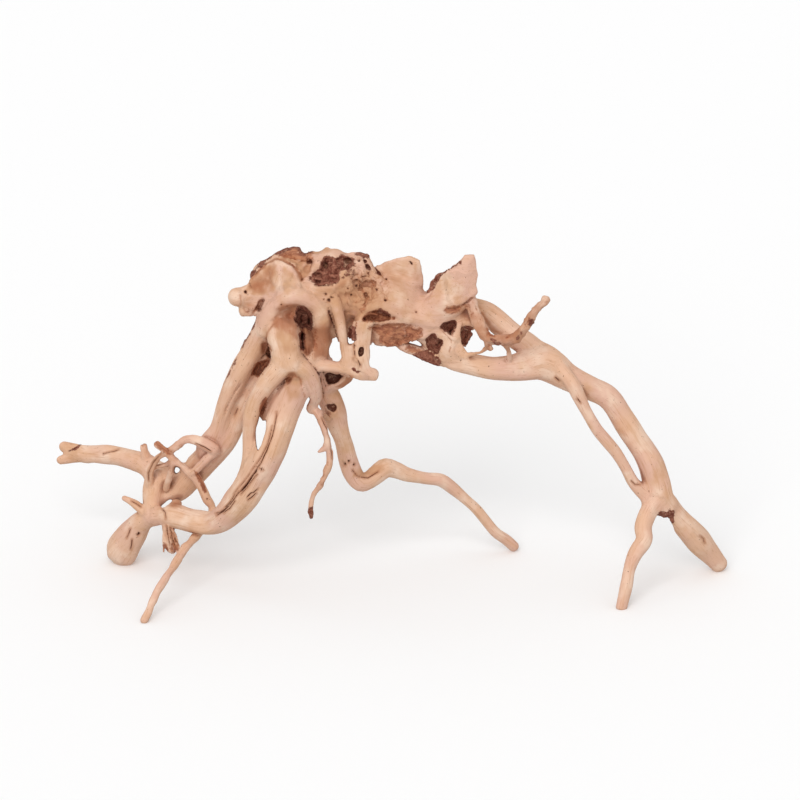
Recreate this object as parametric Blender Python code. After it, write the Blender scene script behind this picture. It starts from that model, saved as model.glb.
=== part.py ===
"""Bogwood root: one dry, washed root that grew as one piece and stands on five of its tips.

The limbs are drawn as they look from the front and 20 degrees above, in millimetres: across to the
right, up the drawing, and away from the viewer. stand() turns a drawn point upright and gives metres.
The origin is on the floor, under the middle of the root's box.
"""

import math

import bmesh
import bpy
from mathutils import Matrix, Vector

MM = 0.001
VIEW_ANGLE = math.radians(20)
MIDDLE_ACROSS = 196.1
MIDDLE_AWAY = 59.2

VOXEL = 0.9 * MM
CUTTER_VOXEL = 0.5 * MM
SMOOTH_ROUNDS = 4
BEVEL_STEPS = 2
CURVE_STEPS = 6
END_BALL_SHARE = 0.97
MOST_TRIANGLES = 10900
FLOOR_DEPTH = 20 * MM

WOOD_COLOUR = (0.72, 0.47, 0.32, 1.0)
WOOD_ROUGHNESS = 0.75

# Each limb is a list of points: across, up, away, radius.
LEGS = {
    "front left leg": [
        (158, 150, 48, 9),
        (153, 132, 40, 8.6),
        (147, 118.5, 36, 8.8),
        (142.5, 107, 34, 8.5),
        (136.7, 91, 30, 8.2),
        (130.4, 76.5, 31, 8),
        (119.7, 60.3, 37, 8.1),
        (108.5, 50.5, 46, 6.5),
        (98.5, 50.3, 52.5, 6),
        (87.5, 52.8, 60, 5.8),
        (77.5, 52.8, 67.5, 4.8),
        (71, 50, 74, 5.8),
        (66.3, 44, 80, 7.8),
        (61.6, 36.6, 85.5, 8.7),
    ],
    "middle leg": [
        (160, 140, 50, 7),
        (163, 127, 53, 6),
        (165.5, 116.5, 55, 5.9),
        (167, 110, 56.5, 6),
        (168.8, 99.5, 61, 5.4),
        (171.8, 90, 65, 4.5),
        (174.2, 80.5, 69, 4.9),
        (177, 73.2, 70.5, 4.8),
        (180.5, 70, 71, 4.8),
        (184.8, 71.2, 73, 4.7),
        (188.8, 74.4, 75.5, 4.9),
        (192.8, 77, 77.5, 4.9),
        (198, 75.9, 79.5, 4.2),
        (203.5, 73.7, 81.5, 3.6),
        (212.5, 71.8, 85, 3),
        (220, 70.6, 87.5, 3.3),
        (225.3, 67.3, 90, 3.4),
        (231.7, 61.2, 92.5, 2.8),
        (237.2, 56, 94.5, 2.8),
        (242.7, 49.9, 96.5, 2.8),
        (247.7, 44.8, 98, 2.8),
        (254, 40.6, 100.8, 2.9),
        (258, 37.2, 102.2, 3),
    ],
    "right leg": [
        (212, 150, 50, 8),
        (223, 132, 46, 4.8),
        (235, 129.3, 44.5, 5.5),
        (247.5, 126.2, 45, 6.4),
        (260, 126.8, 49, 6.6),
        (272.3, 127.2, 53, 8),
        (282.4, 124, 54, 7.1),
        (294.8, 117.6, 56, 6.5),
        (303.2, 112.8, 57.5, 6.2),
        (309.8, 104.3, 57.5, 5.9),
        (316.9, 93, 56.5, 6.1),
        (324.6, 81.2, 55, 6.6),
        (328.2, 71, 54.5, 7.1),
        (330.5, 62, 54, 7.3),
        (335, 57.5, 57, 6.4),
        (342.5, 48.3, 61, 6.2),
        (349.2, 41.3, 66.5, 6.7),
        (354.8, 35.4, 70.5, 5.8),
        (360, 29.2, 74, 4.9),
    ],
    "right front foot": [
        (329, 62, 52, 6),
        (325.5, 57, 49, 4.9),
        (323, 52, 45.5, 4.5),
        (321.6, 47, 42, 4.4),
        (322, 41, 38, 4.4),
        (317.8, 34.5, 33, 3.8),
        (314.7, 26.5, 28, 3.2),
        (313.2, 18.5, 24, 3.3),
        (310.7, 7.5, 20.3, 3),
    ],
    "right thin branch": [
        (278, 129, 50, 3.6),
        (281.5, 125, 47.5, 3.4),
        (285.8, 119.5, 45, 3.6),
        (289.9, 111.5, 44.5, 3.4),
        (293.6, 104.2, 44, 3.1),
        (298.2, 96.5, 44.5, 3.2),
        (303.2, 90.5, 45.5, 3.2),
        (308.2, 84.6, 47, 3),
        (312.8, 77, 48, 3),
        (316.2, 70.5, 49, 3.2),
        (320, 66, 50, 3.6),
        (326, 60, 52, 4),
    ],
    "right upper branch": [
        (222, 154, 54, 6),
        (233, 157, 62, 5.2),
        (242.5, 154.8, 64.5, 5.8),
        (250, 149, 62.5, 6.2),
        (257.5, 143, 60, 6),
        (264.5, 136, 56, 5.6),
        (272.5, 128, 53, 6.5),
    ],
}

STRANDS = {
    "left strand": [
        (139.5, 172, 42, 7),
        (135.5, 160, 42, 6.2),
        (131.8, 148.5, 42.5, 5.7),
        (127.6, 138.5, 46, 5.8),
        (121.2, 127, 50, 5.6),
        (115.3, 115, 54, 5.2),
        (111.8, 105.5, 57.5, 4.7),
        (109, 96, 61, 4.9),
        (104, 87.3, 65, 6.2),
    ],
    "rear left strand": [
        (140, 150, 56, 6),
        (131, 129, 60, 4.8),
        (125, 116, 61.5, 4.5),
        (119.5, 105, 62.5, 4.6),
        (115, 95.5, 65, 6.2),
        (108.2, 87.3, 67, 6.9),
        (100.8, 79.7, 70, 6.9),
        (94.5, 72.5, 73, 7.1),
        (89.5, 66.5, 75, 6.2),
        (79.5, 59.5, 76, 3.6),
    ],
    "left arm": [
        (76, 53, 68, 4.6),
        (76, 58, 72, 5),
        (76.8, 66, 76, 5.6),
        (79, 72, 79, 6.3),
        (77.2, 75, 82.5, 6),
        (72.3, 78.7, 89, 5.7),
        (66.4, 80.8, 94, 5.3),
        (56, 83.2, 102.5, 4.8),
        (46, 83.8, 109, 4.6),
        (39.5, 84.8, 113, 3.9),
        (31, 87.5, 117, 2.9),
    ],
    "left arm lower tip": [
        (44, 83, 110, 3.4),
        (36, 82, 114, 2.6),
        (29.4, 80.8, 115, 2.2),
    ],
    "arm root": [
        (95, 72.5, 73, 6),
        (86, 73, 77, 6),
        (78, 74, 81, 5.5),
    ],
    "front strand": [
        (140.5, 173, 42, 7),
        (141.5, 160, 36, 6.4),
        (142, 148.5, 32.5, 6),
        (142, 138.5, 30, 6.4),
        (144, 132, 30, 6.4),
        (147, 127, 31, 5.6),
    ],
    "front strand, left fork": [
        (143, 130, 30, 5.5),
        (137.5, 124.5, 29.5, 4.3),
        (131.5, 118.5, 30, 4),
        (127.5, 112, 31, 4),
        (125, 105, 32, 3.8),
        (124.5, 97, 33, 3.8),
        (124.5, 88.5, 34, 3.8),
        (124, 80, 35, 4),
        (122, 70, 36, 4),
    ],
    "front strand, right fork": [
        (146, 129, 30.5, 5.5),
        (152, 127.5, 31, 4.7),
        (155.5, 122, 34, 4.3),
        (157.5, 116, 38, 4.2),
        (157, 110.5, 42, 3.8),
        (155, 107.5, 43, 3.2),
    ],
    "column beside the cavity": [
        (160, 165, 42, 6),
        (160.5, 152, 37, 4.8),
        (160.2, 139, 37, 4.5),
        (159.5, 131, 38, 4.5),
        (156, 124, 38, 4),
    ],
    "cross piece": [
        (155.5, 128.5, 36, 3.4),
        (165, 128, 34, 3.3),
        (173, 126.5, 32.5, 3.2),
        (181, 125, 32, 3.4),
    ],
    "left strut": [
        (166, 166, 40, 4),
        (168, 159.5, 35, 3.3),
        (170.5, 149, 32.5, 2.8),
        (172, 138.5, 32, 2.8),
        (173.5, 127, 32.5, 3),
    ],
    "hook plate": [
        (182, 158, 40, 5),
        (181, 148, 35, 3.8),
        (180.5, 140.5, 33, 3.8),
        (181.5, 134, 32, 3.8),
        (183, 128, 32, 3.6),
        (187, 123.3, 32, 2.6),
    ],
    "web behind the left fork": [
        (143, 126, 37, 6.5),
        (138.5, 115.5, 37, 5.5),
        (135.5, 106, 35, 4.5),
        (134.5, 98, 33, 4),
    ],
    "rear ridge, high": [
        (138, 166, 58, 6),
        (150, 175, 62, 5.5),
        (163, 176, 64, 5),
        (178, 171, 65, 5.5),
        (194, 165, 62, 5),
        (210, 158, 58, 5),
    ],
    "rear ridge, low": [
        (134, 148, 58, 5.5),
        (147, 150, 63, 5),
        (162, 158, 66, 5.5),
        (180, 155, 64, 5),
        (198, 148, 60, 5),
        (214, 146, 57, 4.5),
    ],
    "knot on the left shoulder": [
        (130, 166, 44, 7),
        (123, 165.5, 41, 5.4),
        (118.7, 162.6, 40, 5),
        (123, 155.5, 42, 4.4),
        (130, 151, 44, 4.5),
    ],
}

TWIGS = {
    "front twig": [
        (78.3, 88.8, 62, 2),
        (82.5, 85.5, 62, 1.9),
        (85.5, 82.5, 61, 2),
        (90, 78.5, 60, 2),
        (93, 76, 60.5, 2.1),
        (96.8, 73, 61, 2.3),
        (100, 69.5, 61.5, 2.6),
        (102.4, 65, 62, 2.5),
        (105, 58, 62.5, 2.3),
        (104, 51, 59.5, 2.3),
        (98.7, 43.8, 52, 2.3),
        (93.7, 38.8, 45, 2.3),
        (88.6, 31.8, 35, 2.2),
        (82.6, 22, 22.5, 2.2),
        (78.5, 15, 14, 2.2),
        (72.4, 1, 0, 2.1),
    ],
    "twig to the arm": [
        (86.5, 80, 60.5, 1.7),
        (85.5, 74.5, 61.5, 1.6),
        (84.5, 70, 65, 1.6),
        (83, 66, 71, 1.8),
    ],
    "double loop": [
        (82, 85.5, 62, 1.6),
        (78, 82, 65, 1.7),
        (75.5, 78.5, 68, 1.8),
        (74, 74, 70.5, 1.9),
        (74.5, 69.5, 73, 1.9),
    ],
    "small bridge": [
        (77.5, 76, 72, 1.4),
        (84, 79, 62, 1.3),
    ],
    "arched twig": [
        (84.5, 85, 62, 1.9),
        (88.5, 88, 61.5, 2.1),
        (93, 91, 61, 2.3),
        (96.5, 92, 61, 2.4),
        (101, 90, 61, 2.4),
        (105.3, 87.5, 62, 2.3),
        (109.5, 85, 64, 2),
    ],
    "arch sliver": [
        (105, 86.5, 63, 3.4),
        (101, 81, 63.5, 3),
        (97, 75.5, 64, 2.4),
    ],
    "nub on the arm": [
        (74, 80, 87, 2.2),
        (72, 88.2, 86, 1.5),
    ],
    "stub by the club": [
        (73, 54.5, 70, 2.8),
        (66.7, 59.3, 72, 2.1),
        (62, 62, 74, 1.8),
    ],
    "frayed stub": [
        (86, 50, 61, 5.4),
        (85.5, 42, 60, 5.3),
        (85, 37, 59, 3.4),
        (86, 33.5, 59, 1.6),
    ],
    "hanging twig": [
        (155.5, 109, 42.5, 2.2),
        (159.5, 103.5, 40, 1.8),
        (162, 98.2, 39.5, 1.75),
        (163.5, 93.5, 39.5, 1.7),
        (164.5, 88, 40, 1.8),
        (165, 83, 40.5, 1.7),
        (164, 77, 41.5, 1.6),
        (161, 70, 43, 1.5),
        (157, 64.5, 45, 1.4),
        (155.7, 59, 46.5, 1.3),
        (155.7, 52.5, 47.5, 1.1),
    ],
    "hanging twig stub": [
        (164.5, 88, 40, 1.5),
        (159.7, 85.7, 39, 1.2),
    ],
    "bridge between the strands": [
        (123, 127, 51, 2.2),
        (128.5, 121, 60, 2.2),
    ],
    "gnarled twig": [
        (232, 160, 46, 4),
        (235.5, 161, 42.5, 3.6),
        (236.5, 157, 41, 3.4),
        (238.5, 152.5, 39, 3.1),
        (241.5, 147.5, 37, 2.8),
        (243.5, 142.5, 35, 2.7),
        (248.5, 141, 33.5, 2.6),
        (254.5, 141.5, 32.5, 2.6),
        (258.5, 144, 31, 2.4),
        (262, 149, 30, 2.3),
        (266, 154, 29, 2.1),
        (270, 157.5, 28, 1.9),
        (272.5, 160.5, 27.5, 1.8),
    ],
    "gnarled twig stub": [
        (243, 141.5, 35, 2),
        (244.6, 137.6, 35, 1.6),
    ],
    "gnarled twig strut": [
        (250.5, 140.5, 34, 1.6),
        (253.5, 135, 38, 1.5),
        (254.5, 131, 43, 1.8),
    ],
    "hair twig": [
        (244, 138, 36, 1.1),
        (239, 135.5, 39, 1),
        (232.5, 132.5, 43, 1),
    ],
    "flat strut": [
        (212, 153, 40, 2.6),
        (219.5, 146.5, 35, 2.3),
        (225, 141, 36, 2.2),
        (226, 135, 41, 2.4),
    ],
    "round strut": [
        (226.5, 153, 46, 3.6),
        (227.5, 143, 45, 3.1),
        (228.5, 134, 45, 3),
    ],
    "low brown branch": [
        (198, 142, 48, 3.4),
        (202.5, 137.8, 46, 3.2),
        (208, 135.8, 46.5, 2.8),
        (215, 132.9, 47, 3),
        (222, 130.6, 46.5, 3.6),
    ],
}

# Each lump is an ellipsoid: across, up, away, then its half sizes along X, Z and Y, and its lean.
LUMPS = {
    "trunk, left": (147, 166, 50, 17, 21.5, 15, 0),
    "trunk, middle": (166, 166, 50, 19, 22, 16, 0),
    "trunk, high": (180, 171, 53, 10, 13, 12, -10),
    "trunk, right": (193, 158, 50, 20, 16.5, 14, -8),
    "trunk, underside": (191, 147.5, 47, 14, 9.5, 10, -6),
    "trunk, end": (212, 152, 49, 14, 12, 11, -12),
    "shoulder, front": (142, 167, 43, 11, 14, 9, 0),
    "shoulder, side": (134, 171, 47, 10, 11.5, 10, 35),
    "neck over the legs": (157, 142, 48, 13, 13, 10, 0),
    "plate under the right fin": (224, 160, 43, 14, 8, 6, 25),
    "end knot": (226, 152, 50, 9, 8, 8, 0),
    "bark lump, low": (216, 139.5, 52, 5, 5, 4, 0),
    "bark lump, upper": (223, 146, 53, 4.5, 4.5, 4, 0),
    "bark lump, right": (233, 143, 54, 4.3, 6.5, 4.5, 20),
    "bark bowl": (167, 121, 53, 9, 5.2, 6.5, 25),
    "crotch": (334, 59, 54, 6, 5, 6, 0),
}

# Each fin is a thin plate: how far away it stands, its thickness, then its outline, across and up.
FINS = {
    "left fin": (
        51,
        5,
        [(188, 160), (188.5, 177), (192.5, 180), (198, 181.5), (204.5, 182), (209.5, 180), (211.3, 172),
         (211, 165), (212, 158), (200, 150)],
    ),
    "right fin": (
        41,
        5,
        [(213, 156), (213.8, 166), (217.5, 172), (221, 174.8), (227.5, 178.6), (233, 183), (236.8, 182),
         (238.5, 173.5), (237.5, 168.5), (238.5, 165), (236.5, 162), (233, 159.5), (228.5, 155.5), (222, 150)],
    ),
    "hook plate": (
        33,
        4,
        [(174, 127), (174.5, 137), (176.5, 139), (177, 150), (186, 150), (185.5, 141), (184.5, 134),
         (186, 128), (188.7, 124.8), (187.8, 121.5), (181, 121.5), (175.5, 123)],
    ),
}

# Each hollow is an ellipsoid cut out of the wood, written like a lump.
HOLLOWS = {
    "eye": (166, 176, 36, 10.5, 8, 7, 25),
    "eye pit, left": (163, 177.5, 42, 3, 3, 8, 0),
    "eye pit, right": (173.5, 178.5, 42, 3, 2.5, 8, 0),
    "cavity": (151.5, 149, 30, 4.6, 6.5, 11, -15),
    "cavity slot": (151.8, 139, 32, 2.6, 9, 9, 0),
    "bowl": (166.5, 122.5, 47, 6.5, 2.6, 6, 25),
    "slit": (190, 155, 33, 6.5, 1.8, 6, -10),
    "plate pit": (180.5, 135, 28, 1.4, 2.4, 5, 0),
}


def clear_scene():
    for obj in list(bpy.data.objects):
        bpy.data.objects.remove(obj)


def stand(across, up, away):
    """A drawn point, turned upright, in metres."""
    height = (up - away * math.sin(VIEW_ANGLE)) / math.cos(VIEW_ANGLE)
    return Vector((across - MIDDLE_ACROSS, away - MIDDLE_AWAY, height)) * MM


def add_limbs(mesh, limbs):
    """Sweep each limb as a round tube that follows its points and their radii."""
    curve = bpy.data.curves.new("limbs", "CURVE")
    curve.dimensions = "3D"
    curve.resolution_u = CURVE_STEPS
    curve.bevel_depth = MM
    curve.bevel_resolution = BEVEL_STEPS
    curve.use_fill_caps = True
    for points in limbs.values():
        spline = curve.splines.new("BEZIER")
        spline.radius_interpolation = "CARDINAL"
        spline.bezier_points.add(len(points) - 1)
        for knot, (across, up, away, radius) in zip(spline.bezier_points, points):
            knot.co = stand(across, up, away)
            knot.radius = radius
            knot.handle_left_type = "AUTO"
            knot.handle_right_type = "AUTO"
    holder = bpy.data.objects.new("limbs", curve)
    bpy.context.scene.collection.objects.link(holder)
    graph = bpy.context.evaluated_depsgraph_get()
    swept = bpy.data.meshes.new_from_object(holder.evaluated_get(graph))
    mesh.from_mesh(swept)
    bpy.data.objects.remove(holder)
    bpy.data.curves.remove(curve)
    bpy.data.meshes.remove(swept)


def add_ends(mesh, limbs):
    """Round off both ends of each limb with a ball."""
    for points in limbs.values():
        for across, up, away, radius in (points[0], points[-1]):
            place = Matrix.Translation(stand(across, up, away))
            bmesh.ops.create_icosphere(mesh, subdivisions=2, radius=END_BALL_SHARE * radius * MM, matrix=place)


def add_lumps(mesh, lumps):
    for across, up, away, wide, high, deep, lean in lumps.values():
        place = Matrix.Translation(stand(across, up, away))
        turn = Matrix.Rotation(math.radians(-lean), 4, "Y")
        size = Matrix.Diagonal((wide * MM, deep * MM, high * MM, 1))
        bmesh.ops.create_icosphere(mesh, subdivisions=3, radius=1, matrix=place @ turn @ size)


def add_fins(mesh, fins):
    """Extrude each outline into a plate that faces the viewer."""
    for away, thickness, outline in fins.values():
        front = away - thickness / 2
        corners = [mesh.verts.new(stand(across, up, front)) for across, up in outline]
        face = mesh.faces.new(corners)
        made = bmesh.ops.extrude_face_region(mesh, geom=[face])
        moved = [item for item in made["geom"] if isinstance(item, bmesh.types.BMVert)]
        push = stand(0, 0, thickness) - stand(0, 0, 0)
        bmesh.ops.translate(mesh, verts=moved, vec=push)
    bmesh.ops.recalc_face_normals(mesh, faces=mesh.faces)


def new_object(name, mesh):
    data = bpy.data.meshes.new(name)
    mesh.to_mesh(data)
    mesh.free()
    obj = bpy.data.objects.new(name, data)
    bpy.context.scene.collection.objects.link(obj)
    return obj


def make_cutter(name, mesh):
    cutter = new_object(name, mesh)
    cutter.hide_render = True
    cutter.display_type = "WIRE"
    return cutter


def add_fuse(obj, voxel):
    """Join the overlapping shapes of one object into one skin."""
    fuse = obj.modifiers.new("fuse", "REMESH")
    fuse.mode = "VOXEL"
    fuse.voxel_size = voxel
    fuse.use_smooth_shade = True


def make_hollows():
    mesh = bmesh.new()
    add_lumps(mesh, HOLLOWS)
    cutter = make_cutter("hollows", mesh)
    add_fuse(cutter, CUTTER_VOXEL)
    return cutter


def make_floor_cut():
    """A slab whose top is the floor: it wears a small flat on each tip that the root stands on."""
    mesh = bmesh.new()
    slab = Matrix.Diagonal((1, 1, FLOOR_DEPTH, 1))
    bmesh.ops.create_cube(mesh, size=1, matrix=Matrix.Translation((0, 0, -FLOOR_DEPTH / 2)) @ slab)
    return make_cutter("floor_cut", mesh)


def wood():
    material = bpy.data.materials.new("wood")
    material.use_nodes = True
    shader = material.node_tree.nodes["Principled BSDF"]
    shader.inputs["Base Color"].default_value = WOOD_COLOUR
    shader.inputs["Roughness"].default_value = WOOD_ROUGHNESS
    shader.inputs["Metallic"].default_value = 0.0
    return material


def add_boolean(obj, cutter):
    cut = obj.modifiers.new(cutter.name, "BOOLEAN")
    cut.operation = "DIFFERENCE"
    cut.object = cutter
    cut.solver = "EXACT"


def triangle_count(obj):
    graph = bpy.context.evaluated_depsgraph_get()
    mesh = obj.evaluated_get(graph).to_mesh()
    mesh.calc_loop_triangles()
    return len(mesh.loop_triangles)


def make_root():
    mesh = bmesh.new()
    for limbs in (LEGS, STRANDS, TWIGS):
        add_limbs(mesh, limbs)
        add_ends(mesh, limbs)
    add_lumps(mesh, LUMPS)
    add_fins(mesh, FINS)
    root = new_object("root", mesh)
    root.data.materials.append(wood())

    add_fuse(root, VOXEL)
    add_boolean(root, make_hollows())
    add_fuse(root, VOXEL)
    soften = root.modifiers.new("soften", "SMOOTH")
    soften.factor = 0.5
    soften.iterations = SMOOTH_ROUNDS
    thin = root.modifiers.new("thin", "DECIMATE")
    thin.ratio = MOST_TRIANGLES / triangle_count(root)
    add_boolean(root, make_floor_cut())
    return root


clear_scene()
make_root()
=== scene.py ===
"""Looks of the bogwood root: bare, washed wood with dark bark in its hollows, on a pale floor.

The root is grown as a field of distances in millimetres, skinned, thinned, and carved finely where it has
cracks, worm holes and bark. Everything is drawn as it looks from the front and 20 degrees above, in
millimetres: across to the right, up the drawing, and away from the viewer. Leans are in degrees.
Hollows, creases and parts under others are darkened with painted shade.
"""

import math

import bmesh
import bpy
import numpy as np
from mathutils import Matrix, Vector


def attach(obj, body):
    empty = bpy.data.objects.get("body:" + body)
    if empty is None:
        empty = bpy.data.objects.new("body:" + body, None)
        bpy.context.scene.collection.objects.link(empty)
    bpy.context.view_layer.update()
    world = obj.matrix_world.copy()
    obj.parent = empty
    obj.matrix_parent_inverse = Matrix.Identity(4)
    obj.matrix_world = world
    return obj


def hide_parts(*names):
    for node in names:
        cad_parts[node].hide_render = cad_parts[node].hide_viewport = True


MM = 0.001
VIEW_ANGLE = math.radians(20)

# Where the frame's own axis stands on the drawing.
MIDDLE_ACROSS = 196.1
MIDDLE_AWAY = 59.2

# The field: its grid, how far round each shape it is worked out, what it says farther out, and how much
# room the grid leaves round the limbs.
CELL = 0.6
REACH = 5.0
FAR = 6.0
ROOM_BELOW = 16
ROOM_ABOVE = 32

# Limbs: the step along them, what is added to their drawn radius, and the radius of the thickest twig.
PATH_STEP = 1.6
LIMB_TRIM = -0.2
TWIG_RADIUS = 3.8

# How softly shapes flow into the wood, and how soft the rims of cuts are.
LEG_BLEND = 2.6
TWIG_BLEND = 1.0
LUMP_BLEND = 4.0
FIN_BLEND = 2.2
RIDGE_BLEND = 1.6
SPLINTER_BLEND = 0.4
CUT_BLEND = 0.8

# Cuts: the margin of the block that they are worked out in, how far before the wood's front they start, and
# how far away the last of them ends, behind all of the wood. A cut of depth THROUGH goes right through.
CUT_MARGIN = 2.5
CUT_START = 5
FARTHEST = 135
THROUGH = 99

# Paint: how far behind the front it lies in a cut at most, and in a patch, how far behind that it is gone,
# and how soft and rough its rims are.
DEEPEST_PAINT = 20
PATCH_DEPTH = 4
PAINT_FADE = 3
PATCH_ROUGHNESS = 0.8
GROOVE_SOFTNESS = 0.6
GROOVE_ROUGHNESS = 0.1

# The skin: how many triangles it keeps before fine carving, which edges are split for that, how far round
# a crack, and how far the skin stays above the floor.
PLAIN_TRIANGLES = 125000
FINE_EDGE = 0.45
FINE_MARGIN = 1.2
FLOOR_CLEARANCE = 0.02

# Grain: how far each limb's pattern is shifted against the one before, along and across, how thick wood
# counts that is near no limb, and how many distances are worked out at a time.
GRAIN_SHIFT_ALONG = 37
GRAIN_SHIFT_ACROSS = 5
LOOSE_RADIUS = 12.0
MOST_DISTANCES = 4000000

# Relief: from what radius up a limb's flutes are at their full strength, below what share of that radius a
# limb is thin, how far its knots stand out, how deep worms' pits are, and how far behind the front the
# drawn cracks end.
THICK = 7
THIN_SIZE = 0.6
KNOT_HEIGHT = 0.8
PIT_DEPTH = 0.7
SHOWN_DEPTH = 4

# The light: how bright the surroundings are below and above, and one large soft lamp at the front left.
LIGHT_BELOW = 0.66
LIGHT_ABOVE = 0.8
KEY_STRENGTH = 1.46
KEY_ANGLE = 35
KEY_DIRECTION = (0.22, 1.0, -0.7)

# The floor, in metres, and the middle of the view, across and up.
FLOOR_SIZE = 24.0
FLOOR_WHITE = 0.95
FLOOR_ROUGHNESS = 0.9
VIEW_MIDDLE = (200, 111)

# Each limb is a list of points: across, up, away, radius.
LEGS = {
    "front left leg": [
        (158, 150, 48, 9), (153, 132, 40, 8.6), (147, 118.5, 36, 8.8), (142.5, 107, 34, 8.5),
        (136.7, 91, 30, 8.2), (130.4, 76.5, 31, 8), (119.7, 60.3, 37, 8.1), (108.5, 50.5, 46, 6.5),
        (98.5, 50.3, 52.5, 6), (87.5, 52.8, 60, 5.8), (77.5, 52.8, 67.5, 4.8), (70.6, 50, 74, 5.6),
        (65.6, 43.6, 80, 7.6), (60.9, 36.3, 85.5, 8.6)],
    "middle leg": [
        (160, 140, 50, 7), (160.6, 127, 53, 6), (162.2, 116.5, 55, 6), (165.2, 110.6, 56.5, 6.2),
        (167.6, 104, 59, 5.9), (168.9, 98.5, 61.5, 5.2), (171.8, 90, 65, 4.5), (174.2, 80.5, 69, 4.9),
        (177, 73.2, 70.5, 4.8), (180.5, 70, 71, 4.8), (184.8, 71.2, 73, 4.6), (188.8, 74.4, 75.5, 4.9),
        (192.8, 77, 77.5, 4.9), (198, 75.9, 79.5, 4.2), (203.5, 73.7, 81.5, 3.7),
        (212.5, 71.8, 85, 3.2), (220, 70.8, 87.5, 3.4), (225.3, 67.5, 90, 3.4),
        (232.2, 61.6, 92.5, 2.8), (238, 56.4, 94.5, 2.8), (243.2, 50.2, 96.5, 2.8),
        (247.9, 44.6, 98, 2.8), (253.6, 40.6, 100.8, 2.9), (257.2, 37.4, 102.2, 2.8)],
    "right leg": [
        (212, 150, 50, 8), (223, 132, 46, 4.8), (235, 128.9, 44.5, 5.7), (247.5, 126.6, 45, 6.2),
        (260, 127.5, 49, 6.9), (269.5, 130, 53, 9), (276.5, 127.4, 54, 8.2), (283, 123, 54.3, 6.9),
        (294.4, 117, 56, 6.3), (303.2, 112.8, 57.5, 6.2), (309.8, 104.3, 57.5, 5.9),
        (316.9, 93, 56.5, 6.1), (324.6, 81.2, 55, 6.6), (328.2, 71, 54.5, 7.1), (330.5, 62, 54, 7.1),
        (334.6, 57, 57, 6.1), (342.5, 48.3, 61, 6.2), (349.2, 41.3, 66.5, 6.7),
        (354.8, 35.4, 70.5, 5.8), (360, 29.2, 74, 4.9)],
    "right front foot": [
        (329, 62, 52, 6), (325.5, 57, 49, 4.9), (323, 52, 45.5, 4.5), (321.6, 47, 42, 4.4),
        (322, 41, 38, 4.4), (317.8, 34.5, 33, 3.8), (314.7, 26.5, 28, 3.2), (313.2, 18.5, 24, 3.3),
        (310.7, 7.5, 20.3, 3)],
    "right thin branch": [
        (278, 129, 50, 3.6), (281.5, 125, 47.5, 3.4), (285.8, 119.5, 45, 3.6),
        (289.9, 111.5, 44.5, 3.4), (293.6, 104.2, 44, 3.1), (298.2, 96.5, 44.5, 3.2),
        (303.2, 90.5, 45.5, 3.2), (308.2, 84.6, 47, 3), (312.8, 77, 48, 3), (316.2, 70.5, 49, 3.2),
        (320, 66, 50, 3.6), (326, 60, 52, 4)],
    "right upper branch": [
        (222, 154, 54, 6), (233, 157, 62, 5.2), (242.5, 154.8, 64.5, 5.8), (250, 149, 62.5, 6.2),
        (257.5, 143, 60, 6), (265.5, 137, 56, 6.2), (272.5, 129.5, 53, 7)],
}

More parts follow.
